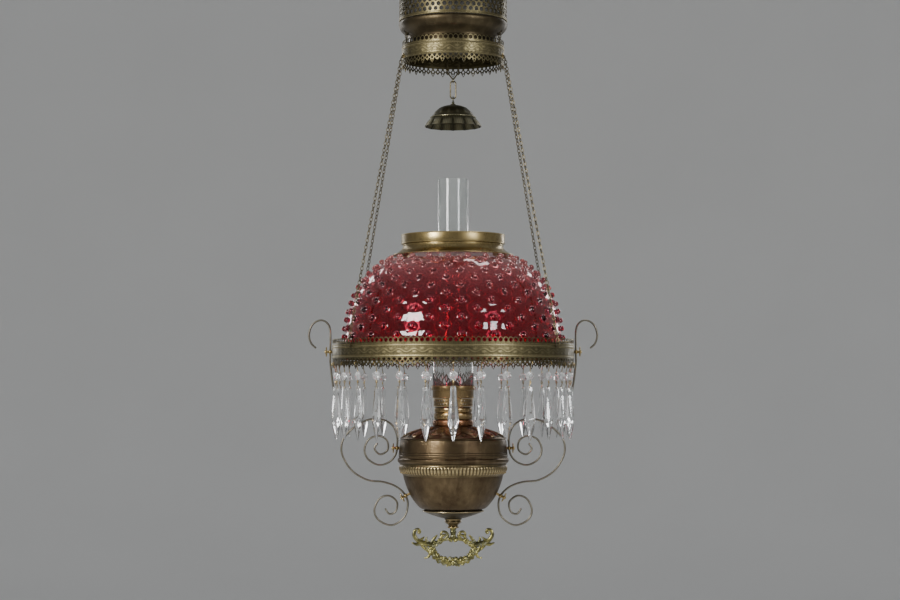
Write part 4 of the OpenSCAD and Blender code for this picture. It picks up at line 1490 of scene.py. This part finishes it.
def make_wick():
    r, low, high = size_of("wick")
    chance = random.Random(3)
    fray = {}
    def uneven(a, radius, h):
        key = round(a * 30)
        if key not in fray:
            fray[key] = chance.uniform(-0.25, 0.1)
        return fray[key] if h > high - 3 else 0.0
    line = [(r - 2, low), (r, low), (r, high - 4), (r, high - 0.6), (r - 0.5, high),
            (r - 1.6, high), (r - 2, high - 0.6), (r - 2, high - 4)]
    make("cotton_round_wick", revolve(line, 96, relief=uneven), "wick", "wick_cotton", ["wick"])


def make_knob():
    """Wick winder: its shaft runs into the burner and its disc is knurled."""
    low, high = (corner.y for corner in box("wick_knob"))
    line = [(0, low), (2.4, low), (2.4, low + 3), (1.5, low + 3.2), (1.5, high - 6.2),
            (6.6, high - 6), (8.7, high - 5.6), (9, high - 5), (9, high - 3), (8.7, high - 2.3),
            (7.8, high - 2.1), (6.6, high - 2.8), (4.6, high - 2.8), (4, high - 1.8),
            (3.4, high - 0.3), (2.4, high), (0, high)]
    def knurl(a, r, h):
        return 0.28 * math.cos(40 * a) if r > 8.2 else 0.0
    disc = revolve(line, 160, closed=False, relief=knurl, gain=2)
    lie = Matrix.Translation((0, 0, middle("wick_knob")[1])) @ Matrix.Rotation(-math.pi / 2, 4, "X")
    make("wick_knurled_knob", moved(disc, lie), "wick_winder", "burner_brass", ["wick_knob"])


def make_chimney():
    turned("chimney_blown_glass", "chimney", "lamp_chimney", "clear_glass", 0.9, 120, sharp=60)


# ---- stage and camera ----


def dress_shown_nodes():
    """Gives the CAD nodes that stay in view their own finish."""
    slot_of = {p["node"]: p["material_slot"] for p in frame["record"]["subparts"]}
    for name, node in frame["nodes"].items():
        if not node.hide_render:
            node.data.materials.clear()
            node.data.materials.append(looks[slot_of[name]])


def plain(name, colour, rough):
    n = Nodes(name)
    shade = n.mix(n.spread(n.noise(1.2, 3.0), 0.3, 0.7), colour, tuple(c * 0.97 for c in colour))
    n.set(Base_Color=shade, Roughness=rough)
    return n.material


def make_stage():
    """A pale floor that curves up into a round wall, well clear of every camera."""
    floor, far, bend, top = -1.8, 9.0, 2.5, 9.0
    line = [(0.0, floor), (far - bend, floor)]
    line += [(far - bend + bend * math.sin(a), floor + bend - bend * math.cos(a))
             for a in [math.pi / 2 * i / 12 for i in range(1, 13)]]
    line.append((far, top))
    count = 96
    points = [(r * math.cos(TURN * k / count), r * math.sin(TURN * k / count), h)
              for k in range(count) for r, h in line]
    mesh = bpy.data.meshes.new("studio_floor")
    mesh.from_pydata(points, [], [f[::-1] for f in grid(count, len(line), True, False)])
    for face in mesh.polygons:
        face.use_smooth = True
    mesh.materials.append(plain("studio_paper", (0.74, 0.74, 0.73), 0.9))
    new_object("studio_floor", mesh)


def soft_light(name, place, target, size, watts, colour=(1.0, 1.0, 1.0)):
    data = bpy.data.lights.new(name, "AREA")
    data.shape = "RECTANGLE"
    data.size, data.size_y = size
    data.energy = watts
    data.color = colour
    light = new_object(name, data)
    light.location = place
    light.rotation_euler = (Vector(target) - Vector(place)).to_track_quat("-Z", "Y").to_euler()
    light.visible_camera = False


def make_lights():
    """Two tall soft boxes in front, two narrow ones behind, one overhead, a dim sky."""
    heart = (0, 0, -0.6)
    soft_light("key_left", (-2.3, -2.4, 0.5), heart, (0.8, 1.4), 120, (1.0, 0.98, 0.95))
    soft_light("fill_right", (2.2, -2.3, 0.2), heart, (0.5, 1.3), 42, (0.97, 0.98, 1.0))
    soft_light("edge_left", (-1.5, 2.4, 0.2), heart, (0.35, 1.8), 13)
    soft_light("edge_right", (1.5, 2.4, 0.2), heart, (0.35, 1.8), 13)
    soft_light("top_back", (0.3, 1.2, 2.2), heart, (1.4, 0.8), 30)
    world = bpy.data.worlds.new("studio")
    world.use_nodes = True
    world.node_tree.nodes["Background"].inputs[0].default_value = (0.92, 0.95, 1.0, 1)
    world.node_tree.nodes["Background"].inputs[1].default_value = 0.4
    bpy.context.scene.world = world


CAMERA_AT = (-0.005, -3.252, (DATUM + 52.7) * MM)
CAMERA_TIP = 2.656                   # degrees upward from level


def make_camera():
    """Long lens, level with the burner and tipped up a little."""
    data = bpy.data.cameras.new("camera")
    data.lens = 81.0
    data.sensor_width = 36.0
    camera = new_object("camera", data)
    camera.location = CAMERA_AT
    camera.rotation_euler = (math.radians(90 + CAMERA_TIP), 0, 0)
    bpy.context.scene.camera = camera


PIECES = (
    make_eye, make_top_plate, make_crown, make_waist, make_lower_band, make_bail, make_link,
    make_bell, make_chains, make_chain_hooks, make_ring, make_ledge, make_shade,
    make_collar, make_arms, make_screws, make_prisms, make_holder, make_pull, make_font,
    make_burner, make_wick, make_knob, make_chimney,
)

make_camera()
make_stage()
make_lights()
for make_piece in PIECES:
    make_piece()
dress_shown_nodes()
